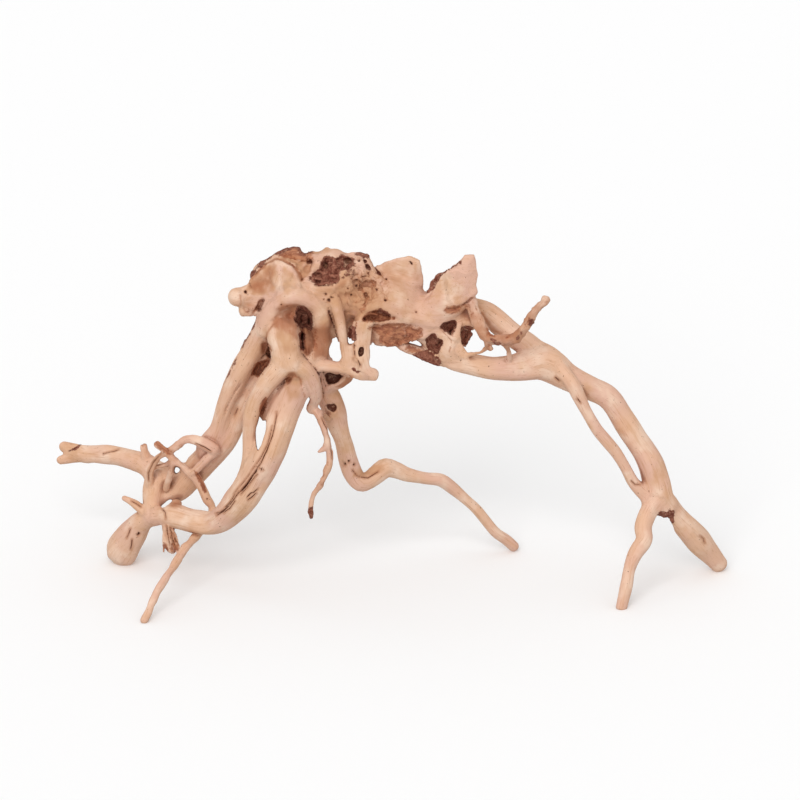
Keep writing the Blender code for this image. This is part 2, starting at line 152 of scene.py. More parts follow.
STRANDS = {
    "left strand": [
        (139.5, 172, 42, 7), (136, 160, 41, 6), (132.4, 148.5, 42, 5.4), (128.2, 138.5, 46, 5.6),
        (121.2, 127, 50, 5.6), (115.3, 115, 54, 5.2), (111.8, 105.5, 57.5, 4.7), (109, 96, 61, 4.9),
        (104, 87.3, 65, 6.2)],
    "rear left strand": [
        (140, 150, 54, 6), (131, 129, 56, 5), (125, 116, 57, 4.8), (119.5, 105, 59.5, 4.8),
        (115, 95.5, 63, 6.2), (108.2, 87.3, 66, 6.9), (100.8, 79.7, 70, 6.9), (94.5, 72.5, 73, 7.1),
        (89.5, 66.5, 75, 6.2), (79.5, 59.5, 76, 3.6)],
    "left arm": [
        (76, 53, 68, 4.6), (76, 58, 72, 5), (76.8, 66, 76, 5.6), (79, 72, 79, 6.3),
        (77.2, 75, 82.5, 6), (72.3, 78.7, 89, 5.7), (66.4, 80.8, 94, 5.3), (56, 83.2, 102.5, 4.8),
        (46, 83.8, 109, 4.6), (39.5, 84.8, 113, 3.9), (31, 87.5, 117, 2.9)],
    "left arm lower tip": [(44, 83, 110, 3.4), (36, 82, 114, 2.6), (29.4, 80.8, 115, 2.2)],
    "arm root": [(95, 72.5, 73, 6), (86, 73, 77, 6), (78, 74, 81, 5.5)],
    "arch over the cavity": [
        (133.6, 147, 40, 5), (135.8, 154.5, 37.5, 4.9), (140, 160, 36, 4.8), (147, 162.4, 35.5, 4.8),
        (154, 161, 36, 4.6), (159.6, 156, 36.5, 4.4), (160.8, 149.8, 37.5, 4)],
    "front strand": [
        (141, 166, 50, 6), (142, 158.5, 46, 6.4), (142, 151.5, 39.5, 7.6), (142.2, 143.5, 34.2, 8.6),
        (143.2, 136.5, 31, 7.7), (144.2, 131, 30.5, 7), (147, 127, 31, 5.6)],
    "front strand, left fork": [
        (143, 130, 30.5, 5.8), (138.5, 124.8, 29.5, 5.4), (133.4, 119, 30, 5.2),
        (129.4, 112.6, 31, 4.5), (126.6, 106, 32, 4.1), (125.2, 98, 33, 3.9), (124.9, 88.5, 34, 3.6),
        (124.9, 80, 35, 3.9), (122.4, 70, 36, 4)],
    "front strand, right fork": [
        (146, 129, 30.5, 5.8), (152, 126.5, 31, 5.2), (155.6, 120, 34, 4.8), (156.9, 114, 38, 4.2),
        (156.6, 110.6, 41, 3.4), (155.4, 107.2, 42.5, 2.6)],
    "column beside the cavity": [
        (160, 165, 42, 6), (160.8, 152, 37, 4.6), (160.6, 147, 38.5, 4.2), (160.4, 139, 42, 4.6),
        (159.5, 131, 41, 4.5), (156, 124, 39, 4)],
    "cross piece": [
        (155.5, 128.5, 36, 3.4), (165, 128, 34, 3.3), (173, 126.5, 32.5, 3.2), (181, 125, 32, 3.4)],
    "left strut": [
        (166, 166, 40, 4), (168, 159.5, 35, 3.3), (170.5, 149, 32.5, 2.8), (172, 138.5, 32, 2.8),
        (173.5, 127, 32.5, 3)],
    "hook plate": [
        (182, 158, 40, 5), (181, 148, 35, 3.8), (180.5, 140.5, 33, 3.8), (181.5, 134, 32, 3.8),
        (183, 128, 32, 3.6), (187, 123.3, 32, 2.6)],
    "web behind the left fork": [
        (143, 126, 37, 6.5), (138, 115.5, 37.5, 5.5), (134.6, 108.5, 37.5, 4.6),
        (133, 104.5, 36.5, 3.4)],
    "rear ridge, high": [
        (138, 166, 58, 6), (150, 175, 62, 5.5), (163, 176, 64, 5), (178, 171, 65, 5.5),
        (194, 165, 62, 5), (210, 158, 58, 5)],
    "rear ridge, low": [
        (134, 148, 58, 5.5), (147, 150, 63, 5), (162, 158, 66, 5.5), (180, 155, 64, 5),
        (198, 148, 60, 5), (214, 146, 57, 4.5)],
    "knot on the left shoulder": [
        (134, 166, 46, 7), (127, 164.6, 43, 5.2), (121.8, 163, 40.5, 4.8), (119.2, 162.6, 40, 5.1)],
    "knot's lower lobe": [
        (132, 161, 45, 5.5), (125.5, 157.6, 41.5, 4.5), (122.6, 156, 41, 3.2), (121.8, 154.4, 41, 2)],
}

TWIGS = {
    "front twig": [
        (78.3, 88.8, 62, 2), (82.5, 85.5, 62, 1.9), (85.5, 82.5, 61, 2), (90, 78.5, 60, 2),
        (93.2, 76, 60, 2.1), (97, 73.3, 60.5, 2.5), (98.8, 70.6, 61, 2.7), (100.6, 66.8, 61.5, 2.5),
        (103.2, 61.6, 62, 2.3), (106, 56.8, 62, 2.2), (104.6, 51, 59.5, 2.3), (98.9, 43.6, 52, 2.3),
        (93.9, 38.6, 45, 2.3), (89, 31.6, 35, 2.2), (83, 22, 22.5, 2.2), (78.7, 15, 14, 2.2),
        (72.4, 1, 0, 2.1)],
    "twig to the arm": [
        (86.3, 79.4, 60.5, 1.9), (85.6, 76, 61.5, 1.8), (84.2, 71.5, 65, 1.8), (82.8, 66.5, 71, 1.9)],
    "double loop": [
        (82.2, 84.8, 62, 1.6), (78.4, 81.6, 65, 1.8), (76, 78, 68, 2), (74.8, 74, 70.5, 2.1),
        (74.6, 69, 73, 2.1)],
    "small bridge": [(77, 77, 72, 1.4), (84.6, 79.6, 62, 1.4)],
    "arched twig": [
        (84.5, 85, 62, 1.9), (88.8, 88.4, 61.5, 2.2), (93, 91, 60, 2.4), (97.4, 91, 58, 2.8),
        (102.4, 89, 56, 3), (106.6, 86.6, 55.5, 2.9), (108.8, 84.8, 56.5, 1.9)],
    "arch sliver": [
        (107, 85, 56.5, 2.4), (103, 81.2, 56.5, 2.4), (98.6, 77, 58, 2.1), (94.4, 73.8, 60.5, 1.7)],
    "nub on the arm": [(73.6, 79.4, 87, 2.8), (71.6, 85, 86, 2.1), (71.2, 87.4, 86, 2)],
    "stub by the club": [(72.4, 54, 70, 3), (67, 58.6, 72, 2.3), (61.8, 61.8, 74, 1.6)],
    "frayed stub": [
        (83.6, 50, 61, 3), (83.8, 45.5, 60, 3.2), (84.6, 41, 59.5, 3.7), (85.4, 37.8, 59, 3.5),
        (86.2, 35.2, 58.6, 1.8)],
    "hanging twig": [
        (155.5, 109, 42.5, 2.2), (159.2, 103.5, 40, 1.9), (161.7, 98.2, 39.5, 1.9),
        (163.2, 93.5, 39.5, 1.8), (164.2, 88, 40, 1.9), (164.8, 83, 40.5, 1.8), (164, 77, 41.5, 1.7),
        (161.1, 70, 43, 1.6), (157.2, 64.5, 45, 1.5), (155.5, 59, 46.5, 1.5), (155.4, 54.6, 47.5, 1.4),
        (155.8, 52, 47.5, 0.8)],
    "web beside the hanging twig": [
        (160.2, 104.6, 41, 1.5), (162.2, 103, 47, 1.8), (164.2, 101.4, 52, 1.8)],
    "hanging twig stub": [(164, 88.4, 40, 1.6), (161.6, 86.8, 39.5, 1.5), (159.4, 85.2, 39, 1.0)],
    "bridge between the strands": [(123, 127, 51, 2.2), (128.5, 121, 60, 2.2)],
    "gnarled twig": [
        (232, 160, 46, 4), (235.2, 160.6, 42.5, 3.5), (236.4, 156.8, 41, 3.2),
        (238.4, 151.4, 38.5, 3.3), (240.8, 146, 36, 3.2), (243.6, 142.4, 34.5, 2.9),
        (248.6, 141, 33.5, 2.3), (252.4, 141, 33, 2.6), (256.2, 141.6, 32.5, 2.9),
        (259.2, 143.4, 31, 2.7), (261.3, 146.6, 30, 2.5), (263.9, 150, 29.4, 2.5),
        (266.2, 153.6, 29, 2.2), (269.2, 157, 28, 1.9), (271, 159, 27.6, 2), (272.2, 160.8, 27.5, 2.5)],
    "gnarled twig, knuckle": [
        (246.6, 139.6, 34, 1.8), (251.6, 140.6, 31.5, 1.8), (255.4, 141.6, 30.5, 1.6)],
    "curl on the right fork": [
        (156, 112.4, 40, 2.2), (154.6, 108.6, 41, 1.8), (156, 105.2, 41.5, 1.7),
        (158.6, 106.2, 41, 1.4)],
    "gnarled twig stub": [
        (243.6, 142, 34.5, 2.2), (243.4, 139.4, 34.5, 1.7), (244.4, 137.6, 34.5, 2.1),
        (245, 136.6, 34.5, 1.8)],
    "gnarled twig strut": [(251.4, 140.5, 34, 1.6), (253.6, 136.5, 38, 1.2), (254.5, 131, 43, 1.5)],
    "hair twig": [
        (243.6, 137.4, 35.5, 1.4), (240.2, 135, 37, 1.3), (236.4, 134.2, 38.8, 1.3),
        (232.6, 133.2, 41, 1.3)],
    "low brown branch": [
        (198, 142, 48, 3.4), (202.5, 137.8, 46, 3.2), (208, 135.8, 46.5, 2.8), (215, 132.9, 47, 3),
        (222, 130.6, 46.5, 3.6)],
}

# Each lump is an ellipsoid: across, up, away, then its half sizes along X, Z and Y, and its lean.
LUMPS = {
    "trunk, left": (147, 166, 50, 17, 21.5, 15, 0),
    "trunk, middle": (166, 165.5, 50, 19, 21, 16, 0),
    "trunk, high": (180, 171, 53, 10, 13, 12, -10),
    "trunk, right": (193, 158, 50, 20, 16.5, 14, -8),
    "trunk, underside": (191, 147, 47, 14, 9.8, 10, -6),
    "trunk, end": (212, 152, 49, 14, 12, 11, -12),
    "shoulder, front": (142, 167, 42.5, 11, 14, 9.5, 0),
    "shoulder, side": (135.5, 170, 47, 9.5, 10.5, 10, 40),
    "neck over the legs": (157, 142, 48, 13, 13, 10, 0),
    "plate under the right fin": (224, 160, 43, 14, 8, 6, 25),
    "end knot": (228, 154, 50, 8, 6, 7, 0),
    "bark lump, low": (216, 139.5, 52, 5, 5, 4, 0),
    "bark lump, upper": (223, 146, 53, 4.5, 4.5, 4, 0),
    "bark lump, right": (232.2, 142.8, 53, 3.6, 6, 4.4, 10),
    "bark bowl": (168, 121.2, 53, 9.6, 5.2, 6.5, 25),
    "knob over the gap": (235.2, 149.6, 45, 4.2, 4, 4.4, 0),
    "lump behind the leg": (87, 58.6, 66, 3.6, 2.4, 3, 20),
    "crotch": (332.6, 58.4, 54, 5.4, 5, 6, 0),
    "behind the right strut": (177, 147, 46, 5.5, 5.5, 6, 0),
}

# Each fin is a thin plate: how far away it stands, its thickness, then its outline, across and up.
FINS = {
    "left fin": (51, 5, [
        (188, 160), (188.5, 177), (192.5, 180), (198, 181.5), (204.5, 182), (209.5, 180), (211.3, 172),
        (211, 165), (212, 158), (200, 150)]),
    "right fin": (41, 5, [
        (214, 156), (216.8, 166), (219, 170.5), (223, 174.2), (228.5, 177), (232.5, 182.6),
        (236.6, 182.6), (238.5, 173.5), (237.5, 168.5), (238.5, 165), (236.5, 162), (233, 159.5),
        (228.5, 155.5), (222, 150)]),
    "plate over the right leg": (41, 4, [
        (208, 155), (219.7, 147.6), (225.6, 141.4), (226.4, 145), (228, 149.5), (230.4, 149),
        (229.9, 143.2), (230.2, 139.5), (233, 135), (234, 130.5), (221, 130.5), (219.3, 135.4),
        (221.2, 138.5), (221, 140), (216.5, 143.9), (212.3, 141.8), (205, 143)]),
    "bark behind the right fin": (46, 5, [
        (213, 158), (214.2, 165.5), (216.2, 170), (219.8, 174), (224, 175.6), (226.5, 178),
        (230, 179.4), (232, 182), (233, 176), (226, 168), (222, 160)]),
    "hook plate": (31.5, 6, [
        (174, 127), (174.5, 137), (176.5, 139), (177, 150), (186, 150), (185.2, 141), (184.2, 134),
        (186, 128), (188.7, 124.8), (187.8, 121.5), (181, 121.5), (175.5, 123)]),
}


def gap(roughness, outline):
    """A drawn gap is like a hollow, but goes right through and has no paint."""
    return THROUGH, 0.1, roughness, "dark", 0.0, 1.0, outline


# Hollows with a drawn outline are cut straight back from the wood's front: depth, width of their sloping
# side, roughness, paint, its strength and softness, then the outline, across and up.
# Their dark paint is painted shade deep in pits, slots and notches.
PITS = {
    # Painted shade on the strand where it runs in under the arch.
    "under the arch": (5, 5.5, 0.3, "brown_and_shade", 0.8, 2.6, [
        (138.4, 151), (139.8, 154.4), (142.6, 157), (146.6, 158), (149.4, 157.6), (149.8, 153.5),
        (148.8, 149.5), (146.6, 147.5), (142.6, 148.8)]),
    # The cavity's bark paint is partly the bark's own colour and partly painted shade inside the hollow.
    "cavity": (8, 1.6, 0.6, "bark", 1.0, 1.0, [
        (147.8, 149), (147.4, 152.5), (148.2, 156), (150.2, 157.4), (153, 157), (155.8, 154.8),
        (157, 151), (156.9, 147.6), (155.4, 145.6), (152.8, 146.8), (150, 146.4)]),
    "cavity, left pit": (11, 1.3, 0.3, "dark", 0.45, 0.9, [
        (149.4, 148.6), (149.3, 152.5), (150.6, 154.8), (152, 153.2), (151.8, 149.8), (150.8, 148)]),
    "cavity, right pit": (11, 1.3, 0.3, "dark", 0.4, 0.9, [
        (153.4, 150), (153.5, 153.4), (155, 153.8), (156.2, 151.2), (156, 148.4), (154.6, 147.2),
        (153.6, 148.2)]),
    # Painted shade in the recess right of the strand.
    "right of the strand": (5, 3, 0.5, "brown_and_shade", 1.0, 1.6, [
        (149.8, 147.4), (151.6, 149.6), (155.6, 148.4), (157.2, 142), (156.8, 137), (155.6, 133.4),
        (153.4, 132.4), (151.4, 135), (150.4, 139.5)]),
    # The slot's bark and dark paint is partly the bark's own colour and partly painted shade inside it.
    "slot": (7, 0.9, 0.5, "bark", 1.0, 0.9, [
        (149.8, 144), (151, 145.2), (152.4, 144.4), (152.6, 141), (152.6, 137.4), (151.8, 135.4),
        (150.4, 137.4), (149.7, 141)]),
    "slot, top": (10, 0.8, 0.4, "dark", 1.0, 0.8, [
        (150.2, 144), (151.4, 145), (152.2, 143.6), (151.4, 141), (150.2, 141.6)]),
    "gap beside the column": gap(0.3, [
        (167.4, 142.8), (169, 142.4), (170.2, 136.8), (171.1, 133), (170.2, 131.4), (166.2, 131.2),
        (164.6, 132.8), (164.6, 136.6), (165.6, 141)]),
    "gap by the right strut": gap(0.0, [(174.6, 140.2), (177, 140.6), (176.8, 139.4), (175.6, 139.6)]),
    # Painted shade on the tent's concave left face.
    "tent, left face": (3.4, 6.5, 0.3, "brown_and_shade", 0.75, 3, [
        (124.5, 166.5), (127, 171), (131, 175.4), (135.6, 178.2), (138.4, 178), (138.4, 172),
        (137.6, 166.5), (134, 164), (128.5, 163.5)]),
    "eye": (3, 2, 1.0, "bark", 1.0, 1.0, [
        (154.4, 171), (156.6, 173.6), (159, 177), (161, 180.6), (162.6, 182.6), (164.8, 183.2),
        (166.8, 182.6), (168.4, 182.2), (170.6, 183), (174, 182.9), (177.2, 181.4), (177.8, 178.6),
        (175, 176.4), (172, 175.4), (170.4, 173.6), (169.6, 171), (167.6, 169), (163, 168.6),
        (158.4, 168.4), (155.6, 169.2)]),
    "eye pit, left": (7, 1.8, 0.6, "dark", 0.5, 1.2, [
        (160.6, 176), (160.4, 178.6), (162, 181.2), (164.4, 181.4), (165.6, 179), (165, 176.4),
        (162.8, 175.2)]),
    "eye pit, right": (7, 1.8, 0.6, "dark", 0.45, 1.2, [
        (170.6, 176.6), (170.6, 179.6), (172.4, 182), (175.4, 182.2), (176.8, 180), (175.6, 177.8),
        (172.8, 176)]),
    "behind the tent": (3, 2, 1.2, "tan", 0.8, 1.5, [
        (139, 181), (142, 183), (147, 183), (151.4, 181), (156.2, 182.4), (157.2, 179), (155.6, 175),
        (152.6, 171), (150.4, 170), (149.4, 173.4), (147, 177), (143.8, 179.8)]),
    "slit": (4.5, 1.5, 1.3, "fibre", 1.0, 0.8, [
        (181, 150.8), (183, 152.6), (184.6, 155.2), (187.4, 156.8), (190.4, 156.9), (192.8, 155.2),
        (195.2, 153.4), (198, 151.8), (195.4, 150.9), (190, 150.2), (185, 149.8)]),
    "trunk underside": (2.4, 2.4, 1.2, "fibre", 0.85, 1.8, [
        (184.6, 147), (188, 148.4), (194, 149), (202, 148.6), (208, 147.4), (211.6, 145),
        (209.6, 142.4), (203, 139.4), (197, 137.6), (191.6, 138), (188.4, 140.6), (190, 142.6),
        (188, 145)]),
    "between the strands, low": (5, 2, 0.8, "fibre", 0.85, 1.4, [
        (125.8, 125.6), (128.4, 129.6), (131.6, 131.8), (134.6, 131), (134.8, 128), (131.6, 123.4),
        (129.2, 121.8), (127.4, 123)]),
    # Painted shade between the strands, brown and dark.
    "between the strands, high": (4.5, 2, 0.6, "brown_and_shade", 0.9, 1.2, [
        (130.4, 137.8), (131.6, 139.6), (134.2, 139.6), (136, 137.4), (136.2, 133.4), (134.8, 131.8),
        (131.6, 133.2)]),
    "between the strands, pit": (5.5, 1, 0.6, "dark", 0.55, 1.0, [
        (134, 136.8), (135.8, 136.6), (136.2, 133.6), (135.2, 131.8), (133.4, 133), (134, 134.8)]),
    # Painted shadow under the knot, brown and dark.
    "under the knot": (3.5, 1.6, 0.8, "brown_and_shade", 1.0, 1.2, [
        (126.8, 153.4), (129.2, 156), (131.2, 159.4), (131.6, 161.4), (129.4, 160.6), (127.8, 157.6),
        (126, 155)]),
    "under the knot, pit": (4, 1.2, 1.0, "dark", 0.6, 0.8, [
        (128.4, 154.4), (130, 157.8), (131.6, 161), (132.2, 160.6), (130.8, 156.8), (129, 153.8)]),
    "knot's dark corner": (2, 0.9, 0.9, "dark", 0.8, 0.7, [
        (122.8, 165), (124, 164.4), (125.4, 162.9), (124.6, 162.4), (123.2, 163.6)]),
    "bowl": (5, 1.2, 0.3, "dark", 0.9, 0.9, [
        (162.9, 124), (167, 124.2), (172.6, 123.9), (170.6, 121.4), (167.4, 119.4), (164.6, 118.2),
        (163, 120.4)]),
    "plate pit": (4, 0.8, 0.2, "dark", 0.85, 0.6, [
        (179.2, 136.6), (180.6, 137.4), (182, 137), (182, 134.4), (181, 132.9), (179.4, 133)]),
    "fin notch": (3, 0.6, 0.3, "dark", 1.0, 0.5, [
        (204, 180.8), (205.2, 180.4), (206.8, 178.8), (206, 178), (204.8, 179)]),
    "knee hole": (3, 1, 0.4, "dark", 0.85, 0.8, [
        (162.8, 108.6), (164, 109.4), (167.4, 109.2), (168.6, 107.8), (167.8, 105.6), (165.4, 105),
        (163.4, 106.8)]),
    "arm pit": (1.6, 0.8, 0.3, "bark", 1.0, 0.6, [
        (33.4, 85.2), (35, 86.8), (38, 88.2), (39.8, 88.2), (38.6, 86.6), (35.8, 85.2)]),
    "under the end plate": (3.5, 1, 1.0, "bark", 1.0, 0.8, [
        (212.4, 141.4), (214.4, 142.8), (216.4, 144.4), (218.4, 142.4), (221.4, 140.2), (221, 137.4),
        (219.2, 134.8), (216, 135.2), (213.4, 137.4)]),
    "above the end plate": (3.5, 1, 1.0, "bark", 1.0, 0.8, [
        (219.8, 147.2), (222.4, 149), (226.4, 150.2), (228.2, 149.4), (227.2, 146.4), (225.6, 144),
        (223.8, 144)]),
    "crescent": (2.6, 2, 0.9, "bark", 1.0, 0.8, [
        (230.6, 141), (231, 145), (232.6, 147.4), (235.4, 147.9), (237, 147.2), (236, 144.4),
        (234.4, 142), (233, 138.6), (231.6, 138.8)]),
    "gap under the gnarled twig": gap(0.2, [
        (236.8, 144), (240.3, 140.8), (241, 137.4), (239.7, 135.3), (236.1, 135), (233.9, 136.9),
        (233.7, 139.2), (235, 141.8)]),
    # Painted shade under the fork.
    "under the fork": (4, 2.2, 0.4, "brown_and_shade", 0.9, 1.6, [
        (142.4, 121.4), (144.4, 124.4), (146.2, 125.6), (148.2, 124.6), (149.4, 122.4), (147.4, 121.6),
        (145.6, 120.4), (143.6, 119)]),
    "gap at the curl": gap(0.0, [
        (153.8, 112.2), (155, 111.8), (154.6, 110.2), (153.7, 108.6), (153, 107.4), (152.5, 109)]),
    "between fork and leg": (2.6, 1.6, 0.4, "fibre", 1.0, 1.0, [
        (130.4, 104), (130, 107), (131.6, 111), (133.6, 112.6), (134, 110), (133, 106), (131.8, 103.4)]),
    "twig's bark": (0.5, 0.5, 0.3, "fibre", 1.0, 1.0, [
        (96.6, 75.2), (98.6, 75.4), (101, 71.4), (103, 66.4), (102, 64.8), (99.6, 69.4)]),
    "notch on top": gap(0.0, [
        (148, 190), (149.6, 187), (151.4, 184.6), (152.8, 183.6), (154.4, 184.6), (156.2, 186),
        (157.6, 188), (158, 191), (153, 193)]),
    "shoulder's outer edge": gap(0.3, [
        (183.8, 186), (184.8, 182.6), (186, 179.4), (187.4, 177.4), (189, 181), (187, 186)]),
    "hook's bay": gap(0.0, [
        (186.2, 136), (184.9, 132.4), (184.4, 130), (185, 127.8), (186.4, 126.8), (188.6, 126.6),
        (190.4, 127.6), (190.4, 136)]),
    "bay above the hook": gap(0.0, [
        (186.6, 140.4), (187.4, 138.6), (189.4, 138), (192.4, 138), (192.4, 136), (186, 136),
        (185.4, 138)]),
    "gap behind the twigs": gap(0.2, [
        (86.7, 77.6), (88.2, 77.9), (89.8, 76.4), (89.2, 74.8), (87.6, 73.9), (86.5, 75.4)]),
    "gap under the arched twig": gap(0.2, [
        (88, 84.2), (90, 86.4), (93.6, 87.2), (94.6, 85.6), (93.4, 82), (92.4, 79.6), (90.6, 80.6)]),
    "gap above the club": gap(0.2, [
        (80, 57.2), (82, 59), (84.6, 60.8), (85.8, 60.2), (84, 58.4), (81.6, 57)]),
    "worn hollow, left": (2, 1, 1.2, "tan", 1.0, 1.2, [
        (175.4, 170.6), (178, 171.6), (180.6, 169.6), (181.4, 166.4), (179.2, 165.6), (176.6, 167.4)]),
    "worn hollow, right": (1.6, 1, 1.2, "fibre", 0.5, 1.0, [
        (184, 170.6), (186.4, 171.4), (189, 168.4), (188, 166.8), (185.4, 168)]),
    "worn hollow, low": (2, 1.2, 1.4, "fibre", 0.5, 1.2, [
        (182, 163.4), (183.6, 164.4), (185, 161.6), (184.6, 158.8), (182.8, 157), (181, 158.4),
        (182.4, 160.6)]),
    "black crack, top": (2.4, 0.6, 1.6, "dark", 1.0, 0.6, [
        (181.4, 181.4), (182.8, 181.6), (183.6, 179.4), (185.2, 178), (184.8, 176), (183.2, 176.4),
        (182.6, 178.8)]),
    "black crack, low": (2, 0.6, 1.0, "dark", 1.0, 0.6, [
        (183.2, 174.4), (184.8, 174.8), (184.8, 172), (183.8, 171.6)]),
    "notch by the left fin": (1.6, 0.6, 0.8, "dark", 0.9, 0.6, [
        (187.6, 177.2), (188.6, 176.6), (190.4, 173.6), (189.2, 173.6), (188, 175.2)]),
    "hook plate's scar": (0.8, 0.4, 0.8, "bark", 1.0, 0.5, [
        (175.6, 127), (176.8, 127.2), (178.6, 125.8), (180.4, 125.4), (180.2, 124), (178.4, 124.2),
        (176.2, 125.6)]),
    "gap between fork and leg": gap(0.0, [
        (133.2, 101.2), (133, 97.6), (132, 93), (130.5, 89), (129, 85.6), (128.5, 89), (128.4, 94.5),
        (129, 98), (131, 99.8)]),
    "between the feet": gap(0.2, [
        (328.2, 51), (330.4, 52.5), (333.2, 52.7), (335.4, 51.8), (336.3, 48.8), (337.8, 44.6),
        (339, 41.4), (334.6, 42.6), (330, 46.4)]),
    "notch in the red top": (3, 1.2, 1.0, "dark", 0.8, 0.8, [
        (151.6, 186.4), (153.4, 184), (155.8, 182.4), (156.6, 179.4), (155, 178.8), (152.6, 181.6)]),
}

# Grooves: half width, depth, paint and its strength, then the line, across and up.
# The dark and the brown paint in these grooves is painted shade in the crease.
GROOVES = {
    "knot crease": (0.4, 0.8, "brown_and_shade", 0.8, [(120.4, 163), (120.9, 160), (120.5, 157.4)]),
    "behind the tent's rim": (0.7, 2.2, "brown_and_shade", 0.9, [
        (126.5, 171.8), (130, 175.8), (133.6, 178.9), (137.6, 181.2), (142, 180.8), (146.4, 178),
        (149.4, 174.2), (151, 170.6)]),
    "between left and front strand": (0.6, 1.2, "brown_and_shade", 0.8, [
        (138.6, 151), (136.3, 147.5), (134.4, 144.5), (133.4, 141.5)]),
    "fork, left": (0.3, 1.6, "dark", 0.8, [(144.4, 124), (141.8, 119.6), (139.6, 116.6), (138, 113.6)]),
    "fork, right": (0.35, 1.0, "brown_and_shade", 0.8, [(149.4, 123), (150.6, 120.5), (151, 117), (152.6, 112.5)]),
    "column seam": (0.3, 1.8, "dark", 0.8, [
        (164.2, 157), (164.8, 154), (166, 150.6), (167.4, 147), (168, 144), (168, 142.6)]),
    "right of the fork": (0.35, 2.2, "dark", 0.8, [
        (151.3, 134.6), (153, 132), (155.6, 128.9), (158, 126), (159.4, 123.6)]),
    "foot of the cross piece": (0.4, 2, "dark", 0.7, [(158.4, 124.4), (161.5, 124.8), (164, 124.4)]),
    "under the fin plate": (0.6, 1.8, "fibre", 0.6, [
        (223.4, 156.6), (226, 156.2), (229.4, 157.3), (233.4, 159.8), (236.4, 162.2)]),
    "end plate's edge": (0.35, 1.2, "brown_and_shade", 0.8, [
        (219.4, 147.4), (222.6, 143.8), (225.6, 140.8), (225.4, 137.6), (224.6, 135)]),
    "round strut's edge": (0.35, 1.0, "brown_and_shade", 0.7, [(228.4, 149.6), (227, 146), (226, 143)]),
    "left fin's seam": (0.4, 1.0, "brown_and_shade", 0.7, [
        (187.6, 177.2), (189.4, 174.6), (191.4, 172), (194.6, 169.8)]),
    "right strut's left edge": (0.5, 1.6, "fibre", 0.7, [(178.4, 150.5), (177.9, 146), (177.7, 141.5)]),
    "middle leg's top": (0.5, 1.6, "dark", 0.6, [(161, 117.4), (161.6, 114.5), (161.8, 111.5)]),
    "bowl, left seam": (0.35, 1.6, "dark", 0.7, [(159.6, 124.4), (160.4, 121), (160.8, 117)]),
    "bowl, second seam": (0.3, 1.2, "dark", 0.6, [(162, 124.2), (161.8, 120.5), (163, 117.6)]),
    "under the eye": (0.5, 1.4, "dark", 0.6, [
        (155.6, 168.8), (158.6, 167.6), (162.5, 167.8), (166.6, 168)]),
    "worm channel, upper": (0.45, 1.0, "tan", 0.6, [
        (183.5, 171), (185.5, 168.5), (186.6, 165), (186.2, 161.6), (184, 158.6)]),
    "worm channel, lower": (0.4, 0.8, "tan", 0.6, [
        (175.4, 170.5), (178, 166.5), (180.6, 164), (181.4, 160)]),
    "worm channel, right": (0.4, 0.8, "tan", 0.6, [
        (189, 167), (191.5, 164), (194.5, 161.5), (196.5, 158)]),
    "worm channel, left": (0.4, 0.9, "tan", 0.6, [
        (171.4, 168), (173, 164), (173.4, 159.6), (175.6, 155)]),
    "left strands' seam": (0.4, 1.4, "dark", 0.5, [
        (121, 119.5), (118, 115.5), (115.4, 111), (113.4, 106.5), (111.8, 102)]),
    "flank of the tent": (0.5, 1.0, "dark", 0.4, [(125.4, 172.6), (124.6, 169.8), (126.2, 167)]),
}

# Ridges stand a little proud of the front: radius, lift, then the line, across and up.
RIDGES = {
    "blade over the right leg": (1.0, 0.9, [
        (206, 152.6), (213, 150.6), (219.8, 147), (225, 141.6), (225.4, 136.4)]),
    "tent ridge": (1.4, 1.1, [(138.6, 179.4), (139.8, 176), (140, 170), (139.6, 164), (139, 158)]),
    "tent rim": (1.3, 1.2, [
        (124, 167), (127, 172), (131, 176), (135, 178.9), (139, 179.9), (143, 178.4), (146.4, 175.4),
        (148.6, 171), (149.6, 166.6)]),
    "eye rim, lower": (1.2, 0.6, [
        (156, 167), (161, 166.4), (166, 166.8), (170.6, 168.4), (172, 171.4), (175, 173.8),
        (178.4, 176.3), (179.2, 180)]),
    "eye rim, left": (1.3, 0.8, [(153, 171.4), (155.8, 175), (158.4, 179), (160.8, 183), (163.5, 186)]),
    "flake on top": (1.0, 1.0, [(176, 183.6), (179.4, 184.8), (182.6, 184.4), (184.8, 183)]),
    "slit lip": (1.3, 0.9, [
        (180.4, 152.2), (183.2, 156.6), (187.4, 158.5), (191.6, 157.6), (196, 154.6), (200, 152.6)]),
    "plate's lower edge": (1.2, 0.5, [
        (200, 152), (207, 151), (213, 149), (219, 148.2), (223, 150.6), (227, 152), (231, 152.6)]),
    "worm ridge, left": (1.0, 0.6, [(174, 171), (176, 166), (174.5, 160), (176, 154)]),
    "worm ridge, right": (1.2, 0.7, [
        (189, 175.5), (190.5, 170), (189.5, 165), (192, 160.5), (196, 158)]),
    "worm ridge, upper": (1.1, 0.7, [(180, 181), (181, 176), (180, 172), (183, 167)]),
    "worm ridge, low": (0.9, 0.6, [(179, 158), (183, 160.5), (188, 161), (192, 159.4)]),
    "underside ridge": (1.1, 0.8, [(184, 149), (190, 149.6), (197, 149.9), (204, 149.4)]),
    "underside edge": (1.2, 0.6, [(187, 139.6), (193, 138.6), (200, 139.4), (207, 141.8), (212, 143)]),
    "left fin's foot": (0.8, 0.4, [(194, 168.6), (200, 168.6), (206, 168.4), (210.5, 168.2)]),
    "bowl's rim": (0.7, 0.6, [(162.6, 115.4), (164.8, 117.6), (168.4, 119.2), (171.4, 121.6)]),
    "rim of the fin plate": (0.9, 0.6, [(224, 158.4), (229, 158.9), (233, 161.2), (236.4, 164)]),
}

